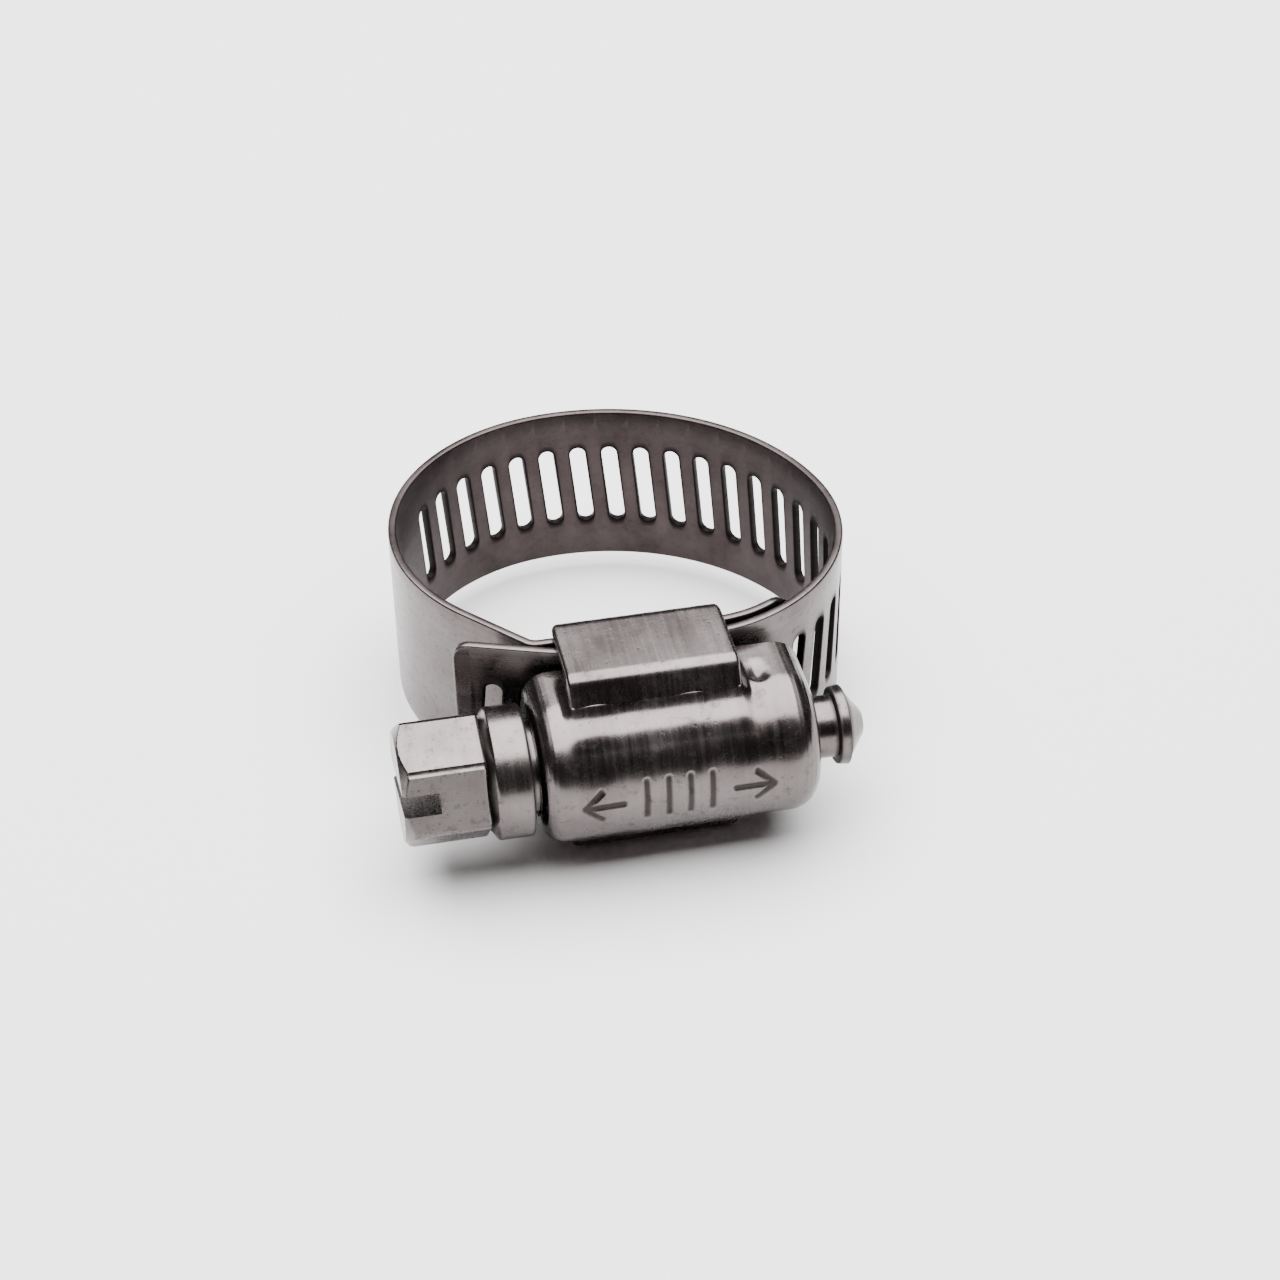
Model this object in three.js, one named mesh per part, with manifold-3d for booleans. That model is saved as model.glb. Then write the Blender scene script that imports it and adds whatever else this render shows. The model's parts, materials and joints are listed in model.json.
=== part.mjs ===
// Worm-drive hose clamp, 8 mm class band, drawn in millimetres.
// X runs along the worm screw from its hex head (-X) to its tip (+X), the screw and its housing
// stand on the -Y side of the loop, and Z is the axis of the hose. While the pieces are drawn,
// the origin is the middle of the screw housing's band channel in X and the loop axis in Y and Z.
// At the end the whole clamp is shifted so that its origin is the middle of its base.
import * as THREE from 'three';
import { mergeVertices } from 'three/addons/utils/BufferGeometryUtils.js';
import Module from 'manifold-3d';

const wasm = await Module();
wasm.setup();

// ---- band strip ----
const BAND_WIDTH = 7.94;
const BAND_THICK = 0.38;
const SLOT_PITCH = 1.5;            // also the lead of the worm thread
const SLOT_LENGTH = 4.1;
const SLOT_WIDTH = 0.74;
const SLOT_LEAN = 5.5;             // degrees, the slots follow the helix of the thread
const SLOT_START = 0.8;            // distance of one slot from the middle of the channel
const PLAIN_END = 14.5;            // the strip has no slots this near its corner at the housing
const SLOTS_IN_TAIL = 5;           // slots on the other side, towards the free end
const LINK_GAP = 0.3;              // cut between two neighbouring lengths of the flexing strip

// ---- loop, seen from above: arcs [radius, turned angle in degrees], a last arc, then a straight.
// The last arc's radius follows from where the straight must end.
const STRIP_Y = -8.32;             // middle of the sliding strip in the channel
const LOOP_START = 2.2;            // the strip leaves its straight run here
const LOOP_ARCS = [[7.35, 27], [7.9, 76], [10.5, 84]];
const LAST_ARC_ANGLE = 125;
const LOOP_END_X = -4.932;         // where the straight meets the housing's left corner
const CORNER_RADIUS = 0.6;         // the strip's sharp bend at the housing's left edge
const CORNER_FLANK = 0.4;          // straight bit between that bend and the last cut

// the strip is cut at these shares of the loop, each moved to the nearest slot pitch
const LINK_PLACES = [2, 4, 6, 9, 12, 15, 18, 24, 27, 30];
const LINK_PLACES_IN_LOOP = 34.9;

// ---- free tail: it is cut at two more slots, and its last length leans in past the screw's collar
const TAIL_CUTS = [1.5, 4.5];      // before SLOT_START, each moved to the nearest slot
const TAIL_LEAN = 20;              // degrees
const TAIL_TIP_LENGTH = 4.5;
const TAIL_CORNER = 1.4;

// ---- fixed end of the band, held in the housing, with its liner tongue ----
const CHANNEL_GAP = 0.4;           // room between the sliding strip and the fixed one
const TONGUE_START = 2.9;
const TONGUE_RADIUS = 5.2;
const TONGUE_ANGLE = 36;
const TONGUE_STRAIGHT = 0.6;
const TONGUE_CORNER = 1.2;

// ---- screw ----
const HEAD_LEFT = -10.95;
const HEAD_LENGTH = 3.5;
const HEAD_FLATS = 4.76;
const HEAD_TURN = 12;              // degrees that one flat leans from +Z towards -Y
const HEAD_CHAMFER = 0.35;
const HEAD_FACE_INSET = 0.1;       // the end face's round edge stands this far inside the flats
const DRIVER_SLOT_WIDTH = 0.9;
const DRIVER_SLOT_DEPTH = 1.5;
const COLLAR_BELOW_BARREL = 0.45;  // radial step from the barrel down to the screw's collar
const COLLAR_LENGTH = 1.75;
const COLLAR_SLOPE = 0.3;          // length of the slope from the head up to the collar
const COLLAR_SLOPE_DROP = 0.35;    // how far the slope starts below the collar, and again inside the head
const COLLAR_CHAMFER = 0.12;
const NECK_BELOW_CORE = 0.08;
const THREAD_HEIGHT = 0.54;        // from the core to the crest
const THREAD_GAP = 0.18;           // between the crests and the inside of the barrel
const THREAD_BITE = 0.14;          // how far the crests reach past the middle of the strip
const THREAD_ROOT_WIDTH = 0.52;
const THREAD_TIP_WIDTH = 0.3;
const THREAD_STEPS = 18;           // flat steps in one turn of the thread
const THREAD_SUNK = 0.1;           // the ridge's foot lies this deep in the core
const THREAD_END_GAP = [0.2, 0.15]; // plain core left at the head end and at the tip end
const JOURNAL_RADIUS = 1.3;
const STAKE_LEFT = 7.25;
const STAKE_RADIUS = 1.65;
const STAKE_LENGTH = 0.45;
const TIP_RIGHT = 8.46;
const TIP_RADIUS = 0.55;

// ---- housing ----
const SHEET = 0.5;
const BARREL_RADIUS = 3.2;
const BARREL_LEFT = -5.4;
const BARREL_RIGHT = 6.2;
const BARREL_CORNER = 1.05;
const BARREL_BACK_GAP = 0.12;      // between the barrel's rear edges and the sliding strip
const LIP_LEFT = -3.9;
const LIP_RIGHT = 3.2;
const LIP_EDGE_GAP = 0.06;         // between the lips and the edges and face of the fixed strip
const LIP_HOOK = 1.05;             // how far the lips reach over the inner face of the strip
const LIP_CORNER = 0.7;
const LIP_FOOT_ANGLE = 77;         // degrees round the barrel where the lip leaves it
const LIP_RISE = 0.05;             // where the rising face meets the top, behind the screw's axis
const LIP_BEND = [0.2, 0.35];      // the bend's control point before, and its end behind, that place
const HOLE_GAP = 0.12;             // radial room of the screw in the barrel's two holes

const STEP_LENGTH = 0.75;          // length of a flat facet along a bent strip
const CORNER_STEPS = 4;            // flats in a quarter round of the barrel's corners
const ROUND_SIDES = 32;            // flats round the screw and the housing's holes
const BARREL_SIDES = 40;
const SLOT_ROUND_STEPS = 3;        // flats in each half of a slot's round end
const BEND_STEPS = 6;              // flats in a rounded corner or bend of the sheet
const MERGE = 1e-5;                // corners closer than this are one
const OVER = 0.5;                  // how far a cutter reaches past the metal it cuts

const ANCHOR_Y = STRIP_Y + BAND_THICK + CHANNEL_GAP;
const THREAD_RADIUS = BARREL_RADIUS - SHEET - THREAD_GAP;
const CORE_RADIUS = THREAD_RADIUS - THREAD_HEIGHT;
const NECK_RADIUS = CORE_RADIUS - NECK_BELOW_CORE;
const COLLAR_RADIUS = BARREL_RADIUS - COLLAR_BELOW_BARREL;
const SCREW_Y = STRIP_Y - THREAD_RADIUS + THREAD_BITE;
const LIP_RISE_Y = SCREW_Y + LIP_RISE;
const HALF = BAND_WIDTH / 2;
const rad = THREE.MathUtils.degToRad;
const X_AXIS = new THREE.Vector3(1, 0, 0);
const Z_AXIS = new THREE.Vector3(0, 0, 1);

// ---------- joining and cutting ----------
function toSolid(geometry) {
  const bare = geometry.clone();
  for (const name of Object.keys(bare.attributes)) {
    if (name !== 'position') bare.deleteAttribute(name);
  }
  const merged = mergeVertices(bare, MERGE);
  return new wasm.Manifold(new wasm.Mesh({
    numProp: 3,
    vertProperties: new Float32Array(merged.attributes.position.array),
    triVerts: new Uint32Array(merged.index.array),
  }));
}

function toGeometry(solid) {
  const mesh = solid.getMesh();
  const geometry = new THREE.BufferGeometry();
  geometry.setAttribute('position', new THREE.BufferAttribute(mesh.vertProperties, 3));
  geometry.setIndex(new THREE.BufferAttribute(mesh.triVerts, 1));
  geometry.computeVertexNormals();
  return geometry;
}

function combine(added, removed = []) {
  let solid = toSolid(added[0]);
  for (const extra of added.slice(1)) solid = solid.add(toSolid(extra));
  for (const cut of removed) solid = solid.subtract(toSolid(cut));
  return toGeometry(solid);
}

// ---------- the strip's path ----------
// A path is a list of runs {length, turn}; at(path, s) gives the place and heading at distance s.
function makePath(x, y, heading, runs) {
  return { x, y, heading, runs };
}

function at(path, distance) {
  let { x, y, heading } = path;
  let left = distance;
  for (const [index, run] of path.runs.entries()) {
    const last = index === path.runs.length - 1;
    const step = last ? left : Math.min(left, run.length);
    const bend = run.turn / run.length;
    if (Math.abs(bend) < 1e-9) {
      x += step * Math.cos(heading);
      y += step * Math.sin(heading);
    } else {
      const next = heading + bend * step;
      x += (Math.sin(next) - Math.sin(heading)) / bend;
      y -= (Math.cos(next) - Math.cos(heading)) / bend;
      heading = next;
    }
    left -= step;
    if (left <= 1e-9) break;
  }
  return { x, y, heading };
}

const arcRun = (radius, degrees) => ({ length: radius * rad(degrees), turn: rad(degrees) });
const straightRun = (length) => ({ length, turn: 0 });

const lengthOf = (runs) => runs.reduce((sum, run) => sum + run.length, 0);

function loopPath() {
  const free = [straightRun(LOOP_START), ...LOOP_ARCS.map(([radius, degrees]) => arcRun(radius, degrees))];
  const before = at(makePath(0, STRIP_Y, 0, free), lengthOf(free));
  const heading = before.heading + rad(LAST_ARC_ANGLE);
  const corner = 2 * Math.PI - heading;
  const cornerTop = ANCHOR_Y + CORNER_RADIUS * (1 - Math.cos(corner));
  // the last arc moves by its radius times (across, up), and the straight goes on down to cornerTop
  const across = Math.sin(heading) - Math.sin(before.heading);
  const up = Math.cos(before.heading) - Math.cos(heading);
  const slope = Math.cos(heading) / Math.sin(heading);
  const radius = (LOOP_END_X - before.x - slope * (cornerTop - before.y)) / (across - slope * up);
  const bent = makePath(0, STRIP_Y, 0, [...free, arcRun(radius, LAST_ARC_ANGLE)]);
  const bentLength = lengthOf(bent.runs);
  const end = at(bent, bentLength);
  const last = (cornerTop - end.y) / Math.sin(end.heading);
  const runs = [...bent.runs, straightRun(last), { length: CORNER_RADIUS * corner, turn: corner },
    straightRun(1)];
  return { ...makePath(0, STRIP_Y, 0, runs), length: bentLength + last - CORNER_FLANK };
}

// a plate that follows the path from one distance to another; +offset lies outside the loop
function plate(path, from, to, thick = BAND_THICK) {
  const steps = Math.max(2, Math.ceil((to - from) / STEP_LENGTH));
  const outer = [];
  const inner = [];
  for (let i = 0; i <= steps; i += 1) {
    const p = at(path, from + ((to - from) * i) / steps);
    const side = new THREE.Vector2(Math.sin(p.heading), -Math.cos(p.heading));
    outer.push(new THREE.Vector2(p.x, p.y).addScaledVector(side, thick / 2));
    inner.unshift(new THREE.Vector2(p.x, p.y).addScaledVector(side, -thick / 2));
  }
  const geometry = new THREE.ExtrudeGeometry(new THREE.Shape([...outer, ...inner]),
    { depth: BAND_WIDTH, bevelEnabled: false });
  return geometry.translate(0, 0, -HALF);
}

// puts a cutter drawn in the XY plane and thick along Z onto the path, its Y along the band's width
function placeOnPath(geometry, path, distance, lean = 0) {
  const p = at(path, distance);
  const along = new THREE.Vector3(Math.cos(p.heading), Math.sin(p.heading), 0);
  const outward = new THREE.Vector3(Math.sin(p.heading), -Math.cos(p.heading), 0);
  const frame = new THREE.Matrix4().makeBasis(along, Z_AXIS, outward);
  frame.setPosition(p.x, p.y, 0);
  return geometry.clone().rotateZ(-rad(lean)).applyMatrix4(frame);
}

function slotCutter() {
  const round = SLOT_WIDTH / 2;
  const straight = SLOT_LENGTH / 2 - round;
  const shape = new THREE.Shape();
  shape.absarc(0, straight, round, 0, Math.PI, false);
  shape.absarc(0, -straight, round, Math.PI, 2 * Math.PI, false);
  const depth = 4 * BAND_THICK;
  const geometry = new THREE.ExtrudeGeometry(shape,
    { depth, bevelEnabled: false, curveSegments: SLOT_ROUND_STEPS });
  return geometry.translate(0, 0, -depth / 2);
}

// what is left of a square end when it gets two rounded corners: the two corner pieces, to cut away
function cornerCutters(radius) {
  const reach = 2 * OVER;
  return [1, -1].map((side) => {
    const shape = new THREE.Shape();
    shape.moveTo(reach, side * (HALF + reach));
    shape.lineTo(reach, side * (HALF - radius));
    shape.lineTo(0, side * (HALF - radius));
    shape.absarc(-radius, side * (HALF - radius), radius, 0, side * Math.PI / 2, side < 0);
    shape.lineTo(-radius, side * (HALF + reach));
    const depth = 4 * BAND_THICK;
    const geometry = new THREE.ExtrudeGeometry(shape,
      { depth, bevelEnabled: false, curveSegments: BEND_STEPS });
    return geometry.translate(0, 0, -depth / 2);
  });
}

// ---------- band ----------
const loop = loopPath();
const slot = slotCutter();
const slotPlace = (index) => SLOT_START + index * SLOT_PITCH;
const slotsInLoop = 1 + Math.floor((loop.length - PLAIN_END - SLOT_START) / SLOT_PITCH);

function slotsBetween(from, to) {
  const cutters = [];
  for (let i = 0; i < slotsInLoop; i += 1) {
    const place = slotPlace(i);
    if (place > from - SLOT_WIDTH && place < to + SLOT_WIDTH) {
      cutters.push(placeOnPath(slot, loop, place, SLOT_LEAN));
    }
  }
  return cutters;
}

function linkCuts() {
  const pitches = (loop.length - SLOT_START) / SLOT_PITCH;
  const indices = LINK_PLACES.map((place) => Math.round((place * pitches) / LINK_PLACES_IN_LOOP));
  return [...indices.map(slotPlace), loop.length];
}

function loopLink(from, to, last) {
  const end = last ? to : to - LINK_GAP / 2;
  return combine([plate(loop, from + LINK_GAP / 2, end)], slotsBetween(from, to));
}

// a length that lies straight in the channel, under the thread
function bandChannel(left, right) {
  const cutters = [];
  for (let i = -SLOTS_IN_TAIL; i < slotsInLoop; i += 1) {
    const place = slotPlace(i);
    if (place > left - SLOT_WIDTH && place < right + SLOT_WIDTH) {
      cutters.push(placeOnPath(slot, loop, place, SLOT_LEAN));
    }
  }
  return combine([plate(loop, left + LINK_GAP / 2, right - LINK_GAP / 2)], cutters);
}

// the last length leans inwards: its path starts at the cut and points away from the channel
function bandTailTip(right) {
  const path = makePath(right, STRIP_Y, Math.PI - rad(TAIL_LEAN), [straightRun(TAIL_TIP_LENGTH)]);
  const cutters = cornerCutters(TAIL_CORNER).map((corner) => placeOnPath(corner, path, TAIL_TIP_LENGTH));
  for (let place = right; place >= slotPlace(-SLOTS_IN_TAIL); place -= SLOT_PITCH) {
    cutters.push(placeOnPath(slot, path, right - place, -SLOT_LEAN));
  }
  return combine([plate(path, LINK_GAP / 2, TAIL_TIP_LENGTH)], cutters);
}

// the fixed end starts beyond the last cut, turns the corner into the channel and ends in a tongue
function bandFixedEnd() {
  const start = at(loop, loop.length + LINK_GAP);
  const corner = 2 * Math.PI - start.heading;
  const flank = CORNER_FLANK - LINK_GAP;
  const bend = { length: CORNER_RADIUS * corner, turn: corner };
  const bendEnd = at(loop, loop.length + CORNER_FLANK + bend.length);
  const tongue = arcRun(TONGUE_RADIUS, TONGUE_ANGLE);
  const runs = [straightRun(flank), bend, straightRun(TONGUE_START - bendEnd.x), tongue,
    straightRun(TONGUE_STRAIGHT)];
  const path = makePath(start.x, start.y, start.heading, runs);
  const length = lengthOf(runs);
  const corners = cornerCutters(TONGUE_CORNER).map((cutter) => placeOnPath(cutter, path, length));
  return combine([plate(path, 0, length)], corners);
}

// ---------- screw ----------
// a solid of revolution about the screw's axis: profile points are [x, radius]
function turned(profile, segments = ROUND_SIDES) {
  const points = profile.map(([x, radius]) => new THREE.Vector2(radius, x));
  const geometry = new THREE.LatheGeometry(points, segments);
  return geometry.rotateZ(-Math.PI / 2);
}

// the hex head stands with one flat leaning by HEAD_TURN; the driver slot opens in the next flat's middle
function hexHead() {
  const across = HEAD_FLATS / 2;
  const corner = across / Math.cos(Math.PI / 6);
  const prism = new THREE.CylinderGeometry(corner, corner, HEAD_LENGTH, 6);
  prism.rotateZ(-Math.PI / 2).rotateX(rad(HEAD_TURN + 30));
  prism.translate(HEAD_LEFT + HEAD_LENGTH / 2, 0, 0);
  const right = HEAD_LEFT + HEAD_LENGTH;
  const chamfer = turned([
    [HEAD_LEFT, 0], [HEAD_LEFT, across - HEAD_FACE_INSET], [HEAD_LEFT + HEAD_CHAMFER, corner + OVER / 10],
    [right, corner + OVER / 10], [right, 0],
  ]);
  const head = toSolid(prism).intersect(toSolid(chamfer));
  const blade = new THREE.BoxGeometry(2 * DRIVER_SLOT_DEPTH, DRIVER_SLOT_WIDTH, 4 * across);
  blade.rotateX(rad(HEAD_TURN + 60)).translate(HEAD_LEFT, 0, 0);
  return toGeometry(head.subtract(toSolid(blade)));
}

// the thread's profile is drawn across its crest, drawn out, and then wound round the axis
function threadRidge(left, right) {
  const turns = (right - left - THREAD_ROOT_WIDTH) / SLOT_PITCH;
  const root = CORE_RADIUS - THREAD_SUNK;
  const section = new THREE.Shape([
    new THREE.Vector2(-THREAD_ROOT_WIDTH / 2, root),
    new THREE.Vector2(THREAD_ROOT_WIDTH / 2, root),
    new THREE.Vector2(THREAD_TIP_WIDTH / 2, THREAD_RADIUS),
    new THREE.Vector2(-THREAD_TIP_WIDTH / 2, THREAD_RADIUS),
  ]);
  const steps = Math.ceil(turns * THREAD_STEPS);
  const geometry = new THREE.ExtrudeGeometry(section, { depth: turns, steps, bevelEnabled: false });
  // one crest passes SLOT_START where the thread faces the band (+Y)
  const first = left + THREAD_ROOT_WIDTH / 2;
  const phase = (first - SLOT_START) / SLOT_PITCH;
  const place = geometry.attributes.position;
  for (let i = 0; i < place.count; i += 1) {
    const turn = 2 * Math.PI * (phase + place.getZ(i));
    const x = first + place.getZ(i) * SLOT_PITCH + place.getX(i);
    const radius = place.getY(i);
    place.setXYZ(i, x, radius * Math.cos(turn), radius * Math.sin(turn));
  }
  return geometry;
}

function wormScrew() {
  const collarLeft = HEAD_LEFT + HEAD_LENGTH;
  const collarRight = collarLeft + COLLAR_LENGTH;
  const coreLeft = BARREL_LEFT + SHEET + HOLE_GAP;
  const coreRight = BARREL_RIGHT - SHEET - HOLE_GAP;
  const shaft = turned([
    [collarLeft - COLLAR_SLOPE, 0], [collarLeft - COLLAR_SLOPE, COLLAR_RADIUS - 2 * COLLAR_SLOPE_DROP],
    [collarLeft + COLLAR_SLOPE / 6, COLLAR_RADIUS - COLLAR_SLOPE_DROP],
    [collarLeft + COLLAR_SLOPE, COLLAR_RADIUS], [collarRight - COLLAR_CHAMFER, COLLAR_RADIUS],
    [collarRight, COLLAR_RADIUS - COLLAR_CHAMFER], [collarRight, NECK_RADIUS], [coreLeft, NECK_RADIUS],
    [coreLeft, CORE_RADIUS], [coreRight, CORE_RADIUS], [coreRight, JOURNAL_RADIUS],
    [STAKE_LEFT, JOURNAL_RADIUS], [STAKE_LEFT, STAKE_RADIUS],
    [STAKE_LEFT + STAKE_LENGTH, STAKE_RADIUS], [TIP_RIGHT, TIP_RADIUS], [TIP_RIGHT, 0],
  ]);
  const ridge = threadRidge(coreLeft + THREAD_END_GAP[0], coreRight - THREAD_END_GAP[1]);
  return combine([shaft, hexHead(), ridge]).translate(0, SCREW_Y, 0);
}

// ---------- housing ----------
// the barrel grown or shrunk by a wall: round in front, straight at the back, round at its corners
function barrelBody(wall, back) {
  const radius = BARREL_RADIUS - wall;
  const left = BARREL_LEFT + wall;
  const right = BARREL_RIGHT - wall;
  const corner = BARREL_CORNER - wall;
  const profile = [[left, 0]];
  for (let i = 0; i <= CORNER_STEPS; i += 1) {
    const turn = (Math.PI / 2) * (i / CORNER_STEPS);
    profile.push([left + corner - corner * Math.cos(turn), radius - corner + corner * Math.sin(turn)]);
  }
  for (let i = 0; i <= CORNER_STEPS; i += 1) {
    const turn = (Math.PI / 2) * (i / CORNER_STEPS);
    profile.push([right - corner + corner * Math.sin(turn), radius - corner + corner * Math.cos(turn)]);
  }
  profile.push([right, 0]);
  const drum = turned(profile, BARREL_SIDES).translate(0, SCREW_Y, 0);
  const face = new THREE.Shape();
  face.moveTo(left + corner, -radius);
  face.absarc(right - corner, -radius + corner, corner, -Math.PI / 2, 0, false);
  face.absarc(right - corner, radius - corner, corner, 0, Math.PI / 2, false);
  face.absarc(left + corner, radius - corner, corner, Math.PI / 2, Math.PI, false);
  face.absarc(left + corner, -radius + corner, corner, Math.PI, 1.5 * Math.PI, false);
  const depth = back - SCREW_Y;
  const saddle = new THREE.ExtrudeGeometry(face,
    { depth, bevelEnabled: false, curveSegments: CORNER_STEPS });
  saddle.rotateX(Math.PI / 2).translate(0, back, 0);
  const behind = new THREE.BoxGeometry(4 * radius + right - left, 2 * radius, 4 * radius);
  behind.translate(0, back + radius, 0);
  return combine([drum, saddle], [behind]);
}

// an outline in (y, z), carried along X
function alongX(shape, left, right) {
  const geometry = new THREE.ExtrudeGeometry(shape,
    { depth: right - left, bevelEnabled: false, curveSegments: BEND_STEPS });
  const frame = new THREE.Matrix4().makeBasis(
    new THREE.Vector3(0, 1, 0), new THREE.Vector3(0, 0, 1), X_AXIS);
  return geometry.applyMatrix4(frame).translate(left, 0, 0);
}

// a lip from the side: from the barrel up in a bend, back over the strip's edge, and down at the hook
function lipOutline(top, hookFace, side) {
  const foot = rad(LIP_FOOT_ANGLE);
  const footY = SCREW_Y - BARREL_RADIUS * Math.cos(foot);
  const footZ = BARREL_RADIUS * Math.sin(foot);
  const shape = new THREE.Shape();
  shape.moveTo(SCREW_Y, 0);
  shape.lineTo(footY, side * footZ);
  const [before, behind] = LIP_BEND;
  shape.quadraticCurveTo(LIP_RISE_Y - before, side * top, LIP_RISE_Y + behind, side * top);
  shape.lineTo(hookFace - LIP_CORNER, side * top);
  shape.absarc(hookFace - LIP_CORNER, side * (top - LIP_CORNER), LIP_CORNER, side * Math.PI / 2, 0,
    side > 0);
  shape.lineTo(hookFace, 0);
  return shape;
}

function screwHousing() {
  const stripOuter = STRIP_Y - BAND_THICK / 2;
  const anchorInner = ANCHOR_Y + BAND_THICK / 2;
  const hookInner = anchorInner + LIP_EDGE_GAP;
  const hookFace = hookInner + SHEET;
  const edge = HALF + LIP_EDGE_GAP;
  const barrelBack = stripOuter - BARREL_BACK_GAP;
  const top = edge + SHEET;
  const lips = [1, -1].map((side) => alongX(lipOutline(top, hookFace, side), LIP_LEFT, LIP_RIGHT));
  const outside = [barrelBody(0, barrelBack), ...lips];
  const long = LIP_RIGHT - LIP_LEFT + 2 * OVER;
  const channel = new THREE.BoxGeometry(long, hookInner - LIP_RISE_Y - SHEET, 2 * edge);
  channel.translate((LIP_LEFT + LIP_RIGHT) / 2, (hookInner + LIP_RISE_Y + SHEET) / 2, 0);
  const window = new THREE.BoxGeometry(long, 2 * (SHEET + LIP_EDGE_GAP), 2 * (edge - LIP_HOOK));
  window.translate((LIP_LEFT + LIP_RIGHT) / 2, hookFace, 0);
  const neck = NECK_RADIUS + HOLE_GAP;
  const journal = JOURNAL_RADIUS + HOLE_GAP;
  const neckHole = turned([[BARREL_LEFT - OVER, 0], [BARREL_LEFT - OVER, neck], [0, neck], [0, 0]]);
  const tipHole = turned([[0, 0], [0, journal], [BARREL_RIGHT + OVER, journal], [BARREL_RIGHT + OVER, 0]]);
  neckHole.translate(0, SCREW_Y, 0);
  tipHole.translate(0, SCREW_Y, 0);
  const inside = barrelBody(SHEET, barrelBack + OVER);
  return combine(outside, [inside, channel, window, neckHole, tipHole]);
}

// ---------- the clamp ----------
const steel = (color, roughness) => new THREE.MeshStandardMaterial({ color, roughness, metalness: 1 });
const housingSteel = steel(0xa89c9a, 0.32);
const bandSteel = steel(0x9a8e8c, 0.38);
const screwSteel = steel(0xb0a8a4, 0.3);
const clamp = new THREE.Group();

function addPiece(name, geometry, material) {
  const mesh = new THREE.Mesh(geometry, material);
  mesh.name = name;
  clamp.add(mesh);
}

const cuts = linkCuts();
const tailCuts = TAIL_CUTS.map((away) => slotPlace(-Math.round(away / SLOT_PITCH)));
addPiece('screw_housing', screwHousing(), housingSteel);
addPiece('band_fixed_end', bandFixedEnd(), bandSteel);
addPiece('band_tail_tip', bandTailTip(tailCuts[1]), bandSteel);
addPiece('band_tail_root', bandChannel(tailCuts[1], tailCuts[0]), bandSteel);
addPiece('band_in_channel', bandChannel(tailCuts[0], cuts[0]), bandSteel);
for (let i = 0; i + 1 < cuts.length; i += 1) {
  const last = i + 2 === cuts.length;
  const name = `band_length_${String(i + 1).padStart(2, '0')}`;
  addPiece(name, loopLink(cuts[i], cuts[i + 1], last), bandSteel);
}
addPiece('worm_screw', wormScrew(), screwSteel);

// the origin goes to the middle of the clamp's base
const box = new THREE.Box3().setFromObject(clamp);
const middle = box.getCenter(new THREE.Vector3());
clamp.position.set(-middle.x, -middle.y, -box.min.z);

export default clamp;
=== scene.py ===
"""Small worm-drive hose clamp: the finished surfaces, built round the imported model.

Lengths in the settings are metres. The clamp's own drawing frame has X along the worm screw, Y from
the screw towards the loop and Z along the hose; its origin is the middle of the loop.
"""
import json
import math

import bmesh
import bpy
import numpy as np
from bpy.props import FloatProperty, FloatVectorProperty, IntProperty, PointerProperty
from mathutils import Matrix, Vector


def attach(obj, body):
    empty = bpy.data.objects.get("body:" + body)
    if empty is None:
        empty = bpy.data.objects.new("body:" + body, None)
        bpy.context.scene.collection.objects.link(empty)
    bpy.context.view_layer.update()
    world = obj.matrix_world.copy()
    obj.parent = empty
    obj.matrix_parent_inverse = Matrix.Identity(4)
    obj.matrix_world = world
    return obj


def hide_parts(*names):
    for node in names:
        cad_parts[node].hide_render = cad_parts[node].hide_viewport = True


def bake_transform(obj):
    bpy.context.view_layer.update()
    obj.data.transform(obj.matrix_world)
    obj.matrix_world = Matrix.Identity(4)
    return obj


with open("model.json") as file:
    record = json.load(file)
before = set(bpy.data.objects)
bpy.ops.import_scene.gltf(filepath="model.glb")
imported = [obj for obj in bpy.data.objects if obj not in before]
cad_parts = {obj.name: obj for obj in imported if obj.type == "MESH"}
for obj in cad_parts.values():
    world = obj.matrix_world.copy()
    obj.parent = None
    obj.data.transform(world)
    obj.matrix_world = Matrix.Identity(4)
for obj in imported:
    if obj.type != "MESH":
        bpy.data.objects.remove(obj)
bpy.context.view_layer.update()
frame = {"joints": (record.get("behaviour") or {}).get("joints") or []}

bl_info = {
    "name": "Worm-drive hose clamp",
    "version": (1, 0, 0),
    "blender": (4, 5, 0),
    "location": "View3D > Sidebar > Hose clamp",
    "description": "Builds the strip, housing, screw and stage of a small hose clamp",
    "category": "Add Mesh",
}

MM = 0.001
MERGE_STEP = 2e-7
JOINTS = {joint["name"]: joint for joint in frame["joints"]}
SCREW_AXIS = np.array(JOINTS["screw_turn"]["pos_m"])
SCREW_TO_LOOP = 10.7 * MM


# ---------------------------------------------------------------- settings

def length(name, description, default):
    """A length setting in metres."""
    return FloatProperty(name=name, description=description, default=default,
                         precision=5, unit="LENGTH", subtype="DISTANCE")


def angle(name, description, degrees):
    """An angle setting, given in degrees."""
    return FloatProperty(name=name, description=description, default=math.radians(degrees),
                         unit="ROTATION", subtype="ANGLE")


def tint(name, description, default):
    """A colour setting."""
    return FloatVectorProperty(name=name, description=description, default=default,
                               subtype="COLOR", size=3, min=0.0, max=1.0)


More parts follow.
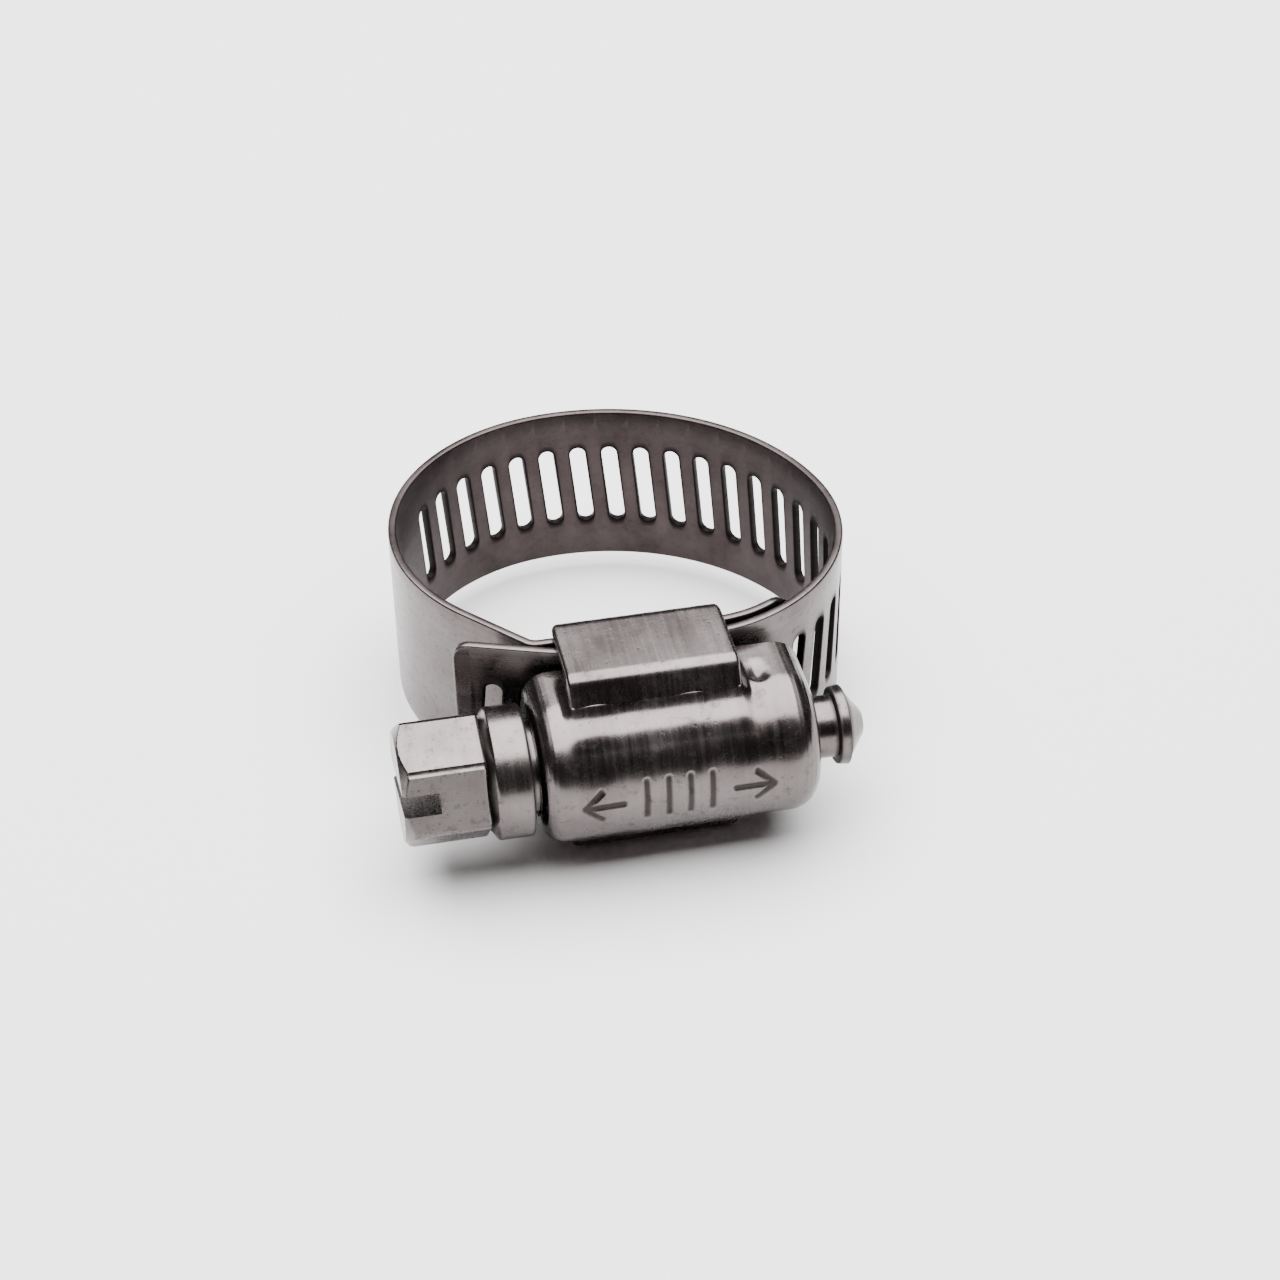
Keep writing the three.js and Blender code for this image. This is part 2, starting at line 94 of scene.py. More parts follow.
class ClampBandSettings(bpy.types.PropertyGroup):
    """Sizes of the perforated strip."""
    width: length("Width", "Width of the strip", 7.94 * MM)
    thick: length("Thickness", "Thickness of the strip", 0.38 * MM)
    rim: length("Rim rounding", "Rounding of the strip's long edges", 0.1 * MM)
    pitch: length("Slot pitch", "Distance from slot to slot, the lead of the thread", 1.5 * MM)
    slot_length: length("Slot length", "Length of a slot across the strip", 4.1 * MM)
    slot_width: length("Slot width", "Width of a slot", 0.74 * MM)
    slot_round: length("Slot edge", "Rounding of a slot's edges", 0.05 * MM)
    slot_lean: angle("Slot lean", "Lean of a slot, the helix angle of the thread", 5.5)
    first_slot: length("First slot", "Place of one slot from the middle of the channel", 0.8 * MM)


class ClampHousingSettings(bpy.types.PropertyGroup):
    """Sizes of the stamped housing."""
    sheet: length("Sheet", "Thickness of the sheet", 0.5 * MM)
    barrel_radius: length("Barrel radius", "Outer radius of the barrel", 3.2 * MM)
    barrel_left: length("Barrel left", "Head end of the barrel", -5.4 * MM)
    barrel_right: length("Barrel right", "Tip end of the barrel", 6.2 * MM)
    barrel_corner: length("Barrel corner", "Rounding of the barrel's ends", 1.05 * MM)
    lip_left: length("Lip left", "Head end of the lips", -3.9 * MM)
    lip_right: length("Lip right", "Tip end of the lips", 3.2 * MM)
    lip_top: length("Lip height", "Height of the lips over the middle of the strip", 4.5 * MM)
    stamp_depth: length("Stamp depth", "Depth of the stamped mark", 0.07 * MM)


class ClampScrewSettings(bpy.types.PropertyGroup):
    """Sizes of the worm screw."""
    head_left: length("Head end", "End face of the hex head", -10.95 * MM)
    head_length: length("Head length", "Length of the hex head", 3.5 * MM)
    head_flats: length("Across flats", "Width of the hex head", 4.76 * MM)
    head_turn: angle("Head turn", "Lean of the head's upper flat", 12)
    slot_width: length("Driver slot width", "Width of the driver slot", 0.9 * MM)
    slot_depth: length("Driver slot depth", "Depth of the driver slot", 1.5 * MM)
    collar_radius: length("Collar radius", "Radius of the collar", 2.75 * MM)
    thread_radius: length("Thread radius", "Crest radius of the thread", 2.5 * MM)
    core_radius: length("Core radius", "Root radius of the thread", 1.98 * MM)
    thread_sides: IntProperty(name="Thread steps", description="Steps in a turn of the thread",
                              default=40, min=8, max=96)


class ClampFinishSettings(bpy.types.PropertyGroup):
    """Colours of the steel."""
    bright: tint("Bright steel", "Clean steel", (0.158, 0.146, 0.143))
    dull: tint("Dull steel", "Oxide tint of the duller places", (0.088, 0.072, 0.073))
    stain: tint("Stain", "Small dark stains", (0.032, 0.024, 0.025))
    inner_light: tint("Inside, light", "The strip's inside where it is lighter", (0.058, 0.043, 0.044))
    inner_dark: tint("Inside, dark", "The strip's inside where it is darker", (0.023, 0.0155, 0.0168))
    # painted shade: near-black colour painted into the slots' walls, the stamped grooves, the dent and the
    # screw's shoulders
    painted_shade_color: tint("Dirt", "Dirt in grooves and round punched edges", (0.007, 0.005, 0.005))
    roughness: FloatProperty(name="Roughness", description="Mean roughness of the steel",
                             default=0.25, min=0.05, max=1.0, subtype="FACTOR")


class ClampStageSettings(bpy.types.PropertyGroup):
    """Floor, lights and camera."""
    distance: length("Camera distance", "From the loop's middle", 114.5 * MM)
    azimuth: angle("Camera azimuth", "Turn of the camera about the clamp", -11)
    elevation: angle("Camera elevation", "Camera's height angle", 37.37)
    roll: angle("Camera roll", "Small roll of the camera", -0.963)
    aim_right: length("Aim right", "Camera moved sideways", 1.242 * MM)
    aim_up: length("Aim up", "Camera moved up", -1.838 * MM)
    lens: FloatProperty(name="Lens", description="Focal length on a 36 mm sensor",
                        default=72.5, min=10.0)
    top_power: FloatProperty(name="Overhead light", description="Power of the overhead softbox",
                             default=8.5, min=0.0)
    floor_tint: tint("Floor", "Colour of the floor", (0.76, 0.76, 0.76))


# ---------------------------------------------------------------- shared drawing tools

def drawing_origin():
    """Middle of the loop in the model's frame, straight behind the screw's axis."""
    return SCREW_AXIS + np.array([0.0, SCREW_TO_LOOP, 0.0])


def screw_origin():
    """A point of the screw's axis in the model's frame, level in x with the loop's middle."""
    return np.array([drawing_origin()[0], SCREW_AXIS[1], SCREW_AXIS[2]])


class Route:
    """A plane route of straight runs and arcs. runs are (length, turned angle) pairs."""

    def __init__(self, x, y, heading, runs, start=0.0):
        self.start = start
        self.lengths = np.array([run[0] for run in runs])
        self.bends = np.array([run[1] / run[0] for run in runs])
        self.ends = start + np.cumsum(self.lengths)
        self.begins = self.ends - self.lengths
        knots = [(x, y, heading)]
        for size, bend in zip(self.lengths, self.bends):
            knots.append(self.step(*knots[-1], size, bend))
        self.knots = np.array([[float(value) for value in knot] for knot in knots])

    @staticmethod
    def step(x, y, heading, size, bend):
        """The place after a run: on an arc the chord follows from the sines of both headings."""
        turned = heading + bend * size
        straight = np.abs(bend) < 1e-9
        safe = np.where(straight, 1.0, bend)
        dx = np.where(straight, size * np.cos(heading), (np.sin(turned) - np.sin(heading)) / safe)
        dy = np.where(straight, size * np.sin(heading), (np.cos(heading) - np.cos(turned)) / safe)
        return x + dx, y + dy, turned

    def at(self, s):
        """Places and headings at distances s, as three arrays; past its ends it goes on as it was."""
        s = np.asarray(s, float)
        index = np.clip(np.searchsorted(self.ends, s, side="left"), 0, len(self.ends) - 1)
        x, y, heading = (self.knots[index, column] for column in range(3))
        return self.step(x, y, heading, s - self.begins[index], self.bends[index])

    @property
    def end(self):
        return float(self.ends[-1])


class Surface:
    """Collects grids of points and makes one mesh of them, with coinciding points merged."""

    def __init__(self):
        self.points, self.dirt, self.faces, self.count = [], [], [], 0

    def grid(self, points, dirt=None, around=False):
        """Adds a grid (rows, columns, 3) with the painted shade at each point; around closes the columns."""
        rows, columns = points.shape[:2]
        ids = np.arange(rows * columns).reshape(rows, columns) + self.count
        if around:
            ids = np.concatenate([ids, ids[:, :1]], axis=1)
        quads = np.stack([ids[:-1, :-1], ids[1:, :-1], ids[1:, 1:], ids[:-1, 1:]], axis=-1)
        self.faces.append(quads.reshape(-1, 4))
        self.points.append(points.reshape(-1, 3))
        self.dirt.append(np.zeros(rows * columns) if dirt is None else dirt.reshape(-1))
        self.count += rows * columns

    def merged(self):
        """Points without doubles, the painted shade at each, and quads of their numbers."""
        points = np.concatenate(self.points)
        keys = np.round(points / MERGE_STEP).astype(np.int64)
        _, first, inverse = np.unique(keys, axis=0, return_index=True, return_inverse=True)
        faces = inverse.reshape(-1)[np.concatenate(self.faces)]
        return points[first], np.concatenate(self.dirt)[first], faces


def faces_without_repeats(quads):
    """Quads whose neighbouring corners coincide become triangles, and thinner ones are dropped."""
    same = quads == np.roll(quads, 1, axis=1)
    doubles = same.sum(axis=1)
    folded = (quads[:, 0] == quads[:, 2]) | (quads[:, 1] == quads[:, 3])
    whole = quads[(doubles == 0) & ~folded]
    pinched = doubles == 1
    triangles = quads[pinched][~same[pinched]].reshape(-1, 3)
    return [*whole.tolist(), *triangles.tolist()]


def make_object(name, points, faces, dirt, uv=None, inside=None, cap=True):
    """A mesh object from merged points and faces: open ends are capped and normals look outwards."""
    mesh = bpy.data.meshes.new(name)
    mesh.from_pydata(points.tolist(), [], faces_without_repeats(faces))
    work = bmesh.new()
    work.from_mesh(mesh)
    if cap:
        rim = [e for e in work.edges if e.is_boundary]
        bmesh.ops.holes_fill(work, edges=rim, sides=0)
    bmesh.ops.recalc_face_normals(work, faces=work.faces)
    work.to_mesh(mesh)
    work.free()
    corners = np.empty(len(mesh.loops), dtype=np.int64)
    mesh.loops.foreach_get("vertex_index", corners)
    if uv is not None:
        layer = mesh.uv_layers.new(name="strip")
        layer.data.foreach_set("uv", uv[corners].astype(np.float32).ravel())
    # painted shade: the mask of painted shade is stored as a point attribute
    for label, values in (("dirt", dirt), ("inside", inside)):
        if values is not None:
            layer = mesh.attributes.new(label, "FLOAT", "POINT")
            layer.data.foreach_set("value", values.astype(np.float32))
    piece = bpy.data.objects.new(name, mesh)
    bpy.context.scene.collection.objects.link(piece)
    return piece


def smooth(piece, degrees):
    """Smooth shading with creases kept where faces meet more sharply than this angle."""
    mesh = piece.data
    mesh.shade_smooth()
    mesh.set_sharp_from_angle(angle=math.radians(degrees))


def dress(piece, metal, body, slot, *replaced):
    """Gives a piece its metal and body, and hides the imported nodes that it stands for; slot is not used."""
    piece.data.materials.append(metal)
    if body:
        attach(piece, body)
    if replaced:
        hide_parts(*replaced)


def finish_piece(surface, name, degrees, shift=0.0):
    """Turns a surface into a smoothed piece, moved by shift."""
    points, dirt, faces = surface.merged()
    piece = make_object(name, points + shift, faces, dirt)
    smooth(piece, degrees)
    return piece


# ---------------------------------------------------------------- shader tools

def operators(operation):
    """A Python operator that adds a Math node, and its reflected form."""
    def forward(self, other):
        return self.math(operation, self, other)

    def reflected(self, other):
        return self.math(operation, other, self)

    return forward, reflected


class Value:
    """A node socket that can be used in a Python expression; each operation adds a Math node."""

    def __init__(self, shader, socket):
        self.shader, self.socket = shader, socket

    def math(self, operation, *values):
        return self.shader.node("ShaderNodeMath", {"operation": operation}, values)

    __add__, __radd__ = operators("ADD")
    __sub__, __rsub__ = operators("SUBTRACT")
    __mul__, __rmul__ = operators("MULTIPLY")
    __truediv__, __rtruediv__ = operators("DIVIDE")

    def clamp(self):
        """The value held between 0 and 1."""
        return self.math("MAXIMUM", self.math("MINIMUM", self, 1.0), 0.0)

    def between(self, low, high):
        """0 at low and 1 at high, straight between them and held outside."""
        return ((self - low) / (high - low)).clamp()


class Shader:
    """A material's node tree, with one method that adds any node."""

    def __init__(self, name):
        self.material = bpy.data.materials.new(name)
        self.material.use_nodes = True
        self.tree = self.material.node_tree
        self.tree.nodes.clear()

    def node(self, kind, settings=None, inputs=(), output=0):
        """Adds a node, sets it up, fills its inputs and returns one of its outputs."""
        made = self.tree.nodes.new(kind)
        for key, value in (settings or {}).items():
            setattr(made, key, value)
        pairs = inputs.items() if isinstance(inputs, dict) else enumerate(inputs)
        for key, value in pairs:
            if isinstance(value, Value):
                self.tree.links.new(value.socket, made.inputs[key])
            elif value is not None:
                made.inputs[key].default_value = value
        return Value(self, made.outputs[output])

    def stretch(self, coordinates, scale):
        """Coordinates scaled by a Mapping node."""
        return self.node("ShaderNodeMapping", {}, {"Vector": coordinates, "Scale": scale})

    def noise(self, coordinates, scale, detail=4.0, rough=0.55):
        """Round noise, from 0 to 1; scale is the waves in a unit of the coordinates."""
        return self.node("ShaderNodeTexNoise", {}, {"Vector": coordinates, "Scale": scale,
                                                     "Detail": detail, "Roughness": rough})

    def mix(self, amount, one, two):
        """A colour between one and two."""
        return self.node("ShaderNodeMix", {"data_type": "RGBA"}, {0: amount, 6: one, 7: two}, output=2)

    def finish(self, color, roughness, normal=None, metallic=1.0):
        """The surface, whose colour, roughness and normal may vary."""
        inputs = {"Base Color": color, "Roughness": roughness, "Metallic": metallic}
        surface = self.tree.nodes.new("ShaderNodeBsdfPrincipled")
        if normal is not None:
            inputs["Normal"] = normal
        for key, value in inputs.items():
            if isinstance(value, Value):
                self.tree.links.new(value.socket, surface.inputs[key])
            else:
                surface.inputs[key].default_value = value
        out = self.tree.nodes.new("ShaderNodeOutputMaterial")
        self.tree.links.new(surface.outputs[0], out.inputs["Surface"])
        return self.material


def rgba(color):
    """A colour with full alpha, as a node's socket takes it."""
    return (*color, 1.0)


SPOTS_FINER = 6.0       # how much finer the stains and the pits are than the clouds
PITS_FINER = 16.0
BUMP_STRENGTH = 0.3
BUMP_DISTANCE = 0.03 * MM


def steel(name, settings, coordinates, grain, mottle, brushed, inner=False):
    """Worn stainless steel.

    Long fine noise along one direction is the grain, and coarse round noise mottles the colour and
    the gloss. Two finer noises' peaks are small stains and pits. The dirt attribute is painted shade:
    it darkens the slots' walls, the stamped grooves, the dent and the screw's shoulders, and roughens
    them; inner gives the strip's inside its darker oxide.
    """
    shader = Shader(name)
    if coordinates == "strip":
        base = shader.node("ShaderNodeUVMap", {"uv_map": "strip"})
    else:
        base = shader.node("ShaderNodeTexCoord", {}, output=3)
    lines = shader.noise(shader.stretch(base, grain), 1.0, 4.0, 0.7)
    cloud = shader.noise(base, mottle, 4.0, 0.55)
    spots = shader.noise(base, mottle * SPOTS_FINER, 5.0, 0.7)
    pits = shader.noise(base, mottle * PITS_FINER, 2.0, 0.5)
    stains = spots.between(0.54, 0.7)
    pocks = pits.between(0.66, 0.76)
    dirt = shader.node("ShaderNodeAttribute", {"attribute_name": "dirt"}, output=2)
    amount = cloud.between(0.3, 0.7) * (1.0 - brushed) + lines.between(0.3, 0.7) * brushed
    clean = shader.mix(amount, rgba(settings.dull), rgba(settings.bright))
    spotted = shader.mix((stains * 0.5 + pocks * 0.5).clamp(), clean, rgba(settings.stain))
    gloss = settings.roughness + (lines - 0.5) * 0.2 + (cloud - 0.5) * 0.2 + stains * 0.12
    if inner:
        inside = shader.node("ShaderNodeAttribute", {"attribute_name": "inside"}, output=2)
        oxide = shader.mix(cloud.between(0.35, 0.68) * 0.6 + spots.between(0.35, 0.65) * 0.4,
                           rgba(settings.inner_dark), rgba(settings.inner_light))
        spotted = shader.mix(inside, spotted, oxide)
        gloss = gloss + inside * 0.14
    # painted shade: the colour is pulled towards the near-black shade colour by the mask in recesses and at
    # shoulders
    color = shader.mix((dirt * 0.92).clamp(), spotted, rgba(settings.painted_shade_color))
    gloss = gloss + dirt * 0.3
    height = lines * 0.55 + spots * 0.3 - pocks * 0.3
    normal = shader.node("ShaderNodeBump", {}, {"Strength": BUMP_STRENGTH, "Distance": BUMP_DISTANCE,
                                                "Height": height})
    return shader.finish(color, gloss.clamp(), normal)


# ---------------------------------------------------------------- strip

STRIP_Y = -8.32 * MM
LOOP_START = 2.2 * MM
LOOP_ARCS = ((7.35, 27), (7.9, 76), (10.5, 84), (8.55, 125))
TAIL_END = -8.2 * MM
TAIL_LEAN = 20
CORNER_RADIUS = 0.6 * MM
CORNER_FLANK = 0.4 * MM
CHANNEL_GAP = 0.4 * MM
TONGUE_START = 2.9 * MM
TONGUE_RADIUS = 5.2 * MM
TONGUE_ANGLE = 36
TONGUE_STRAIGHT = 0.6 * MM
SLOTS = range(-5, 26)
TIP_CORNER = 0.72 * MM
TONGUE_CORNER = 1.2 * MM
TONGUE_ROUND_END = 1.6 * MM
PLAIN_STEP = 0.25 * MM
INSIDE_FADE = 0.5 * MM
# painted shade: share of shade painted on the flat ring just round each slot's wall
FADED_PAINTED_SHADE = 0.12

# the strip's lengths, as (first cell, cells, body before the hinge, body after it)
STRIP_LENGTHS = (
    (-3, 1, "tail_tip", "tail_root"),
    (-2, 3, "tail_root", "strip"),
    (1, 3, "strip", "loop_01"),
    (4, 1, "loop_01", "loop_02"),
    (5, 3, "loop_02", "loop_03"),
    (8, 3, "loop_03", "loop_04"),
    (11, 3, "loop_04", "loop_05"),
    (14, 3, "loop_05", "loop_06"),
    (17, 3, "loop_06", "loop_07"),
    (20, 3, "loop_07", "loop_07"),
    (23, 3, "loop_07", "loop_08"),
    (26, 3, "loop_08", "loop_09"),
    (29, 3, "loop_09", "loop_10"),
)


def sliding_route(band):
    """The strip from its free end, through the channel and round the loop to the last cut."""
    lean = math.radians(TAIL_LEAN)
    bend_from = band.first_slot - 3.5 * band.pitch
    runs = [(bend_from - TAIL_END, 0.0), (band.pitch, lean), (LOOP_START - bend_from - band.pitch, 0.0)]
    for radius, degrees in LOOP_ARCS:
        turn = math.radians(degrees)
        runs.append((radius * MM * turn, turn))
    trial = Route(0.0, 0.0, -lean, runs, TAIL_END)
    x0, y0, _ = trial.at(0.0)
    start_x, start_y = -float(x0), STRIP_Y - float(y0)
    arcs = Route(start_x, start_y, -lean, runs, TAIL_END)
    _, y, heading = arcs.knots[-1]
    corner = 2.0 * math.pi - heading
    top = STRIP_Y + band.thick + CHANNEL_GAP + CORNER_RADIUS * (1.0 - math.cos(corner))
    straight = (top - y) / math.sin(heading) - CORNER_FLANK
    return Route(start_x, start_y, -lean, [*runs, (straight, 0.0)], TAIL_END)


def fixed_route(sliding):
    """The strip's fixed end: round the corner, through the channel and out as the liner tongue."""
    x, y, heading = (float(value) for value in sliding.knots[-1])
    corner = 2.0 * math.pi - heading
    runs = [(CORNER_FLANK, 0.0), (CORNER_RADIUS * corner, corner)]
    channel_x = float(Route(x, y, heading, runs, sliding.end).knots[-1][0])
    tongue = math.radians(TONGUE_ANGLE)
    runs += [(TONGUE_START - channel_x, 0.0), (TONGUE_RADIUS * tongue, tongue), (TONGUE_STRAIGHT, 0.0)]
    return Route(x, y, heading, runs, sliding.end)


def onto_route(route, flat):
    """Strip coordinates (along, across, outward) carried onto a route, in the model's frame."""
    x, y, heading = route.at(flat[..., 0])
    out = flat[..., 2]
    place = np.stack([x + np.sin(heading) * out, y - np.cos(heading) * out, flat[..., 1]], axis=-1)
    return place + drawing_origin()


def edge_profile(radius, thick, steps=3):
    """Half round, flat, half round: (inset, height) from the outer face over an edge to the inner."""
    turn = np.linspace(0.0, math.pi / 2, steps + 1)
    inset = radius * (1.0 - np.sin(turn))
    height = thick / 2 - radius * (1.0 - np.cos(turn))
    return np.concatenate([inset, inset[::-1]]), np.concatenate([height, -height[::-1]])


def add_rim(surface, band, outline, outward):
    """The rounded long edge: its profile carried along an outline in the strip's plane."""
    inset, height = edge_profile(band.rim, band.thick)
    grid = np.empty((len(outline), len(inset), 3))
    grid[..., :2] = outline[:, None, :] - outward[:, None, :] * inset[None, :, None]
    grid[..., 2] = height[None, :]
    surface.grid(grid)


def add_straight_rims(surface, band, along):
    """Both long edges of a straight stretch of the strip."""
    for side in (1.0, -1.0):
        outline = np.stack([along, np.full_like(along, side * band.width / 2)], axis=-1)
        add_rim(surface, band, outline, np.tile([0.0, side], (len(along), 1)))


def add_faces(surface, band, first, second, steps):
    """Both faces of the strip, ruled from one line of points to another."""
    share = np.linspace(0.0, 1.0, steps + 1)[:, None, None]
    plane = first[None] * (1.0 - share) + second[None] * share
    for side in (1.0, -1.0):
        grid = np.concatenate([plane, np.full((*plane.shape[:2], 1), side * band.thick / 2)], axis=-1)
        surface.grid(grid)


def cell_frame(band, arc_steps=6, straight_steps=8):
    """Matching outlines of one cell of the strip and of its slot.

    Right side, top, left side and bottom of the cell run against the slot's right flank, upper round
    end, left flank and lower round end: a side of the cell takes in 60 degrees of both round ends.
    """
    half = band.width / 2 - band.rim
    reach = band.pitch / 2
    radius = band.slot_width / 2
    flank = band.slot_length / 2 - radius
    part = np.linspace(0.0, 1.0, arc_steps + 1)
    up = np.concatenate([-60 + 60 * part[:-1], np.zeros(straight_steps), 60 * part])
    rise = np.concatenate([np.full(arc_steps, -flank), np.linspace(-flank, flank, straight_steps + 1)[:-1],
                           np.full(arc_steps + 1, flank)])
    spread = np.concatenate([-half + (half - flank) * part[:-1],
                             np.linspace(-flank, flank, straight_steps + 1)[:-1],
                             flank + (half - flank) * part])
    over = 60 + 60 * part[1:-1]
    side = np.stack([np.full_like(spread, reach), spread], axis=-1)
    top = np.stack([reach * (1.0 - 2.0 * part[1:-1]), np.full(arc_steps - 1, half)], axis=-1)
    cell = np.concatenate([side, top, -side, -top])
    turn = np.radians(np.concatenate([up, over]))
    lift = np.concatenate([rise, np.full(arc_steps - 1, flank)])
    away = np.stack([np.cos(turn), np.sin(turn)], axis=-1)
    hole = away * radius + np.stack([np.zeros_like(lift), lift], axis=-1)
    hole = np.concatenate([hole, -hole])
    away = np.concatenate([away, -away])
    lean = band.slot_lean
    turned = np.array([[math.cos(lean), math.sin(lean)], [-math.sin(lean), math.cos(lean)]])
    return cell, hole @ turned.T, away @ turned.T


def add_slot_cell(surface, band, middle):
    """One cell with its slot: rings from the cell's outline to the slot, over its edge and through."""
    cell, hole, away = cell_frame(band)
    inset, height = edge_profile(band.slot_round, band.thick, 2)
    lip = hole + away * band.slot_round
    shares = np.array([0.0, 0.5, 0.84])
    flat = cell[None] * (1.0 - shares[:, None, None]) + lip[None] * shares[:, None, None]
    wall = hole[None] + away[None] * inset[:, None, None]
    plane = np.concatenate([flat, wall, flat[::-1]])
    level = np.concatenate([np.full(3, band.thick / 2), height, np.full(3, -band.thick / 2)])
    grid = np.concatenate([plane, np.broadcast_to(level[:, None, None], (*plane.shape[:2], 1))], axis=-1)
    grid[..., 0] += middle
    # painted shade: each slot's wall is fully darkened and the flat ring next to it faintly
    dark = np.concatenate([[0.0, 0.0, FADED_PAINTED_SHADE], np.ones(len(inset)), [FADED_PAINTED_SHADE, 0.0, 0.0]])
    surface.grid(grid, np.broadcast_to(dark[:, None], grid.shape[:2]), around=True)
    add_straight_rims(surface, band, middle + band.pitch * np.linspace(-0.5, 0.5, 7))


def add_plain(surface, band, start, end):
    """A stretch of strip without slots."""
    steps = max(2, int(math.ceil((end - start) / PLAIN_STEP)))
    along = np.linspace(start, end, steps + 1)
    half = band.width / 2
    low = np.stack([along, np.full_like(along, -half + band.rim)], axis=-1)
    high = np.stack([along, np.full_like(along, half - band.rim)], axis=-1)
    add_faces(surface, band, low, high, 12)
    add_straight_rims(surface, band, along)


def add_round_end(surface, band, start, end, radius):
    """The strip's end: its outline turns two quarter rounds, and the faces are ruled to a line."""
    half = band.width / 2
    way = 1.0 if end > start else -1.0
    quarter = np.linspace(0.0, math.pi / 2, 9)
    straight = np.linspace(0.0, 1.0, 7)[:-1]
    run = abs(end - start) - radius
    side_s = run * straight
    arc_s = run + radius * np.sin(quarter)
    arc_z = half - radius * (1.0 - np.cos(quarter))
    s = np.concatenate([side_s, arc_s])
    z = np.concatenate([np.full_like(side_s, half), arc_z])
    normal_s = np.concatenate([np.zeros_like(side_s), np.sin(quarter)])
    normal_z = np.concatenate([np.ones_like(side_s), np.cos(quarter)])
    flat_z = np.linspace(half - radius, -(half - radius), 9)[1:-1]
    s = np.concatenate([s, np.full_like(flat_z, run + radius), s[::-1]])
    z = np.concatenate([z, flat_z, -z[::-1]])
    normal_s = np.concatenate([normal_s, np.ones_like(flat_z), normal_s[::-1]])
    normal_z = np.concatenate([normal_z, np.zeros_like(flat_z), -normal_z[::-1]])
    outline = np.stack([start + way * s, z], axis=-1)
    outward = np.stack([way * normal_s, normal_z], axis=-1)
    add_rim(surface, band, outline, outward)
    inner = outline - outward * band.rim
    base_z = np.linspace(half - band.rim, -(half - band.rim), len(inner))
    base = np.stack([np.full_like(base_z, start), base_z], axis=-1)
    add_faces(surface, band, base, inner, 6)


def finish_strip(surface, name, route):
    """Turns a flat surface into a strip piece on its route; UVs are its flat coordinates in metres."""
    flat, dirt, faces = surface.merged()
    inside = np.clip(0.5 - flat[:, 2] / INSIDE_FADE, 0.0, 1.0)
    piece = make_object(name, onto_route(route, flat), faces, dirt, flat[:, :2], inside)
    smooth(piece, 40)
    return piece


def strip_cells(surface, band, first, cells):
    """Consecutive cells, with slots where the strip has them."""
    for index in range(first, first + cells):
        middle = band.first_slot + index * band.pitch
        if index in SLOTS:
            add_slot_cell(surface, band, middle)
        else:
            add_plain(surface, band, middle - band.pitch / 2, middle + band.pitch / 2)


def hinge_blend(piece, route, start, end, before, after):
    """Attaches a piece to its body when both bodies are the same, and otherwise only bakes its transform
    without bending it; start and end are places on its route.
    """
    if before == after:
        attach(piece, before)
        return
    ends = onto_route(route, np.array([[start, 0.0, 0.0], [end, 0.0, 0.0]]))
    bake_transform(piece)


class CLAMP_OT_strip(bpy.types.Operator):
    """Build the perforated strip: free tail, channel, loop and fixed end"""
    bl_idname = "clamp.strip"
    bl_label = "Strip"

    def execute(self, context):
        scene = context.scene
        band = scene.clamp_band
        route = sliding_route(band)
        grain = (140.0, 3600.0, 1.0)
        metal = steel("strip_steel", scene.clamp_finish, "strip", grain, 420.0, 0.35, inner=True)
        self.tail(band, route, metal)
        for first, cells, before, after in STRIP_LENGTHS:
            surface = Surface()
            strip_cells(surface, band, first, cells)
            start = band.first_slot + (first - 0.5) * band.pitch
            end = start + cells * band.pitch
            name = f"strip_{before}_{after}" if before != after else f"strip_{before}"
            piece = finish_strip(surface, name, route)
            hinge_blend(piece, route, start, end, before, after)
            dress(piece, metal, None, "band_steel")
        self.last(band, route, metal)
        self.fixed(band, route, metal)
        return {"FINISHED"}

    def tail(self, band, route, metal):
        """The free end: its rounded tip and two slots."""
        surface = Surface()
        first = SLOTS[0]
        strip_cells(surface, band, first, STRIP_LENGTHS[0][0] - first)
        add_round_end(surface, band, band.first_slot + (first - 0.5) * band.pitch, TAIL_END, TIP_CORNER)
        piece = finish_strip(surface, "strip_tail_tip", route)
        dress(piece, metal, "tail_tip", "band_steel", "band_tail_tip", "band_tail_root", "band_in_channel")

    def last(self, band, route, metal):
        """The solid end of the loop, down to the housing's corner."""
        surface = Surface()
        first, cells = STRIP_LENGTHS[-1][:2]
        add_plain(surface, band, band.first_slot + (first + cells - 0.5) * band.pitch, route.end)
        piece = finish_strip(surface, "strip_loop_10", route)
        lengths = [f"band_length_{number:02d}" for number in range(1, 11)]
        dress(piece, metal, "loop_10", "band_steel", *lengths)

    def fixed(self, band, route, metal):
        """The fixed end, held in the housing, and its tongue."""
        fixed = fixed_route(route)
        surface = Surface()
        near = fixed.end - TONGUE_ROUND_END
        add_plain(surface, band, fixed.start, near)
        add_round_end(surface, band, near, fixed.end, TONGUE_CORNER)
        piece = finish_strip(surface, "strip_fixed_end", fixed)
        dress(piece, metal, "housing", "band_steel", "band_fixed_end")


# ---------------------------------------------------------------- housing

BARREL_STEPS = 160
NECK_HOLE = 2.05 * MM
TIP_HOLE = 1.45 * MM
BARREL_CLEAR = 0.12 * MM        # the barrel's straight sides stop this far in front of the strip

# the stamped mark and the dent, in mm
GROOVE_HALF_WIDTH = 0.16
GROOVE_FLANK = 0.08
DENT_PLACE = (4.05, 5.2)
DENT_SPREAD = (0.3, 0.34)
DENT_DEPTH = 0.36

# how the barrel's wall rises to the lips' roots, in mm
RAISE_SOFT = 0.45
RAISE_MOST = 0.42
RAISE_FLANK = 0.6
RAISE_FALL = 4.5
RAISE_HEIGHT = 1.2

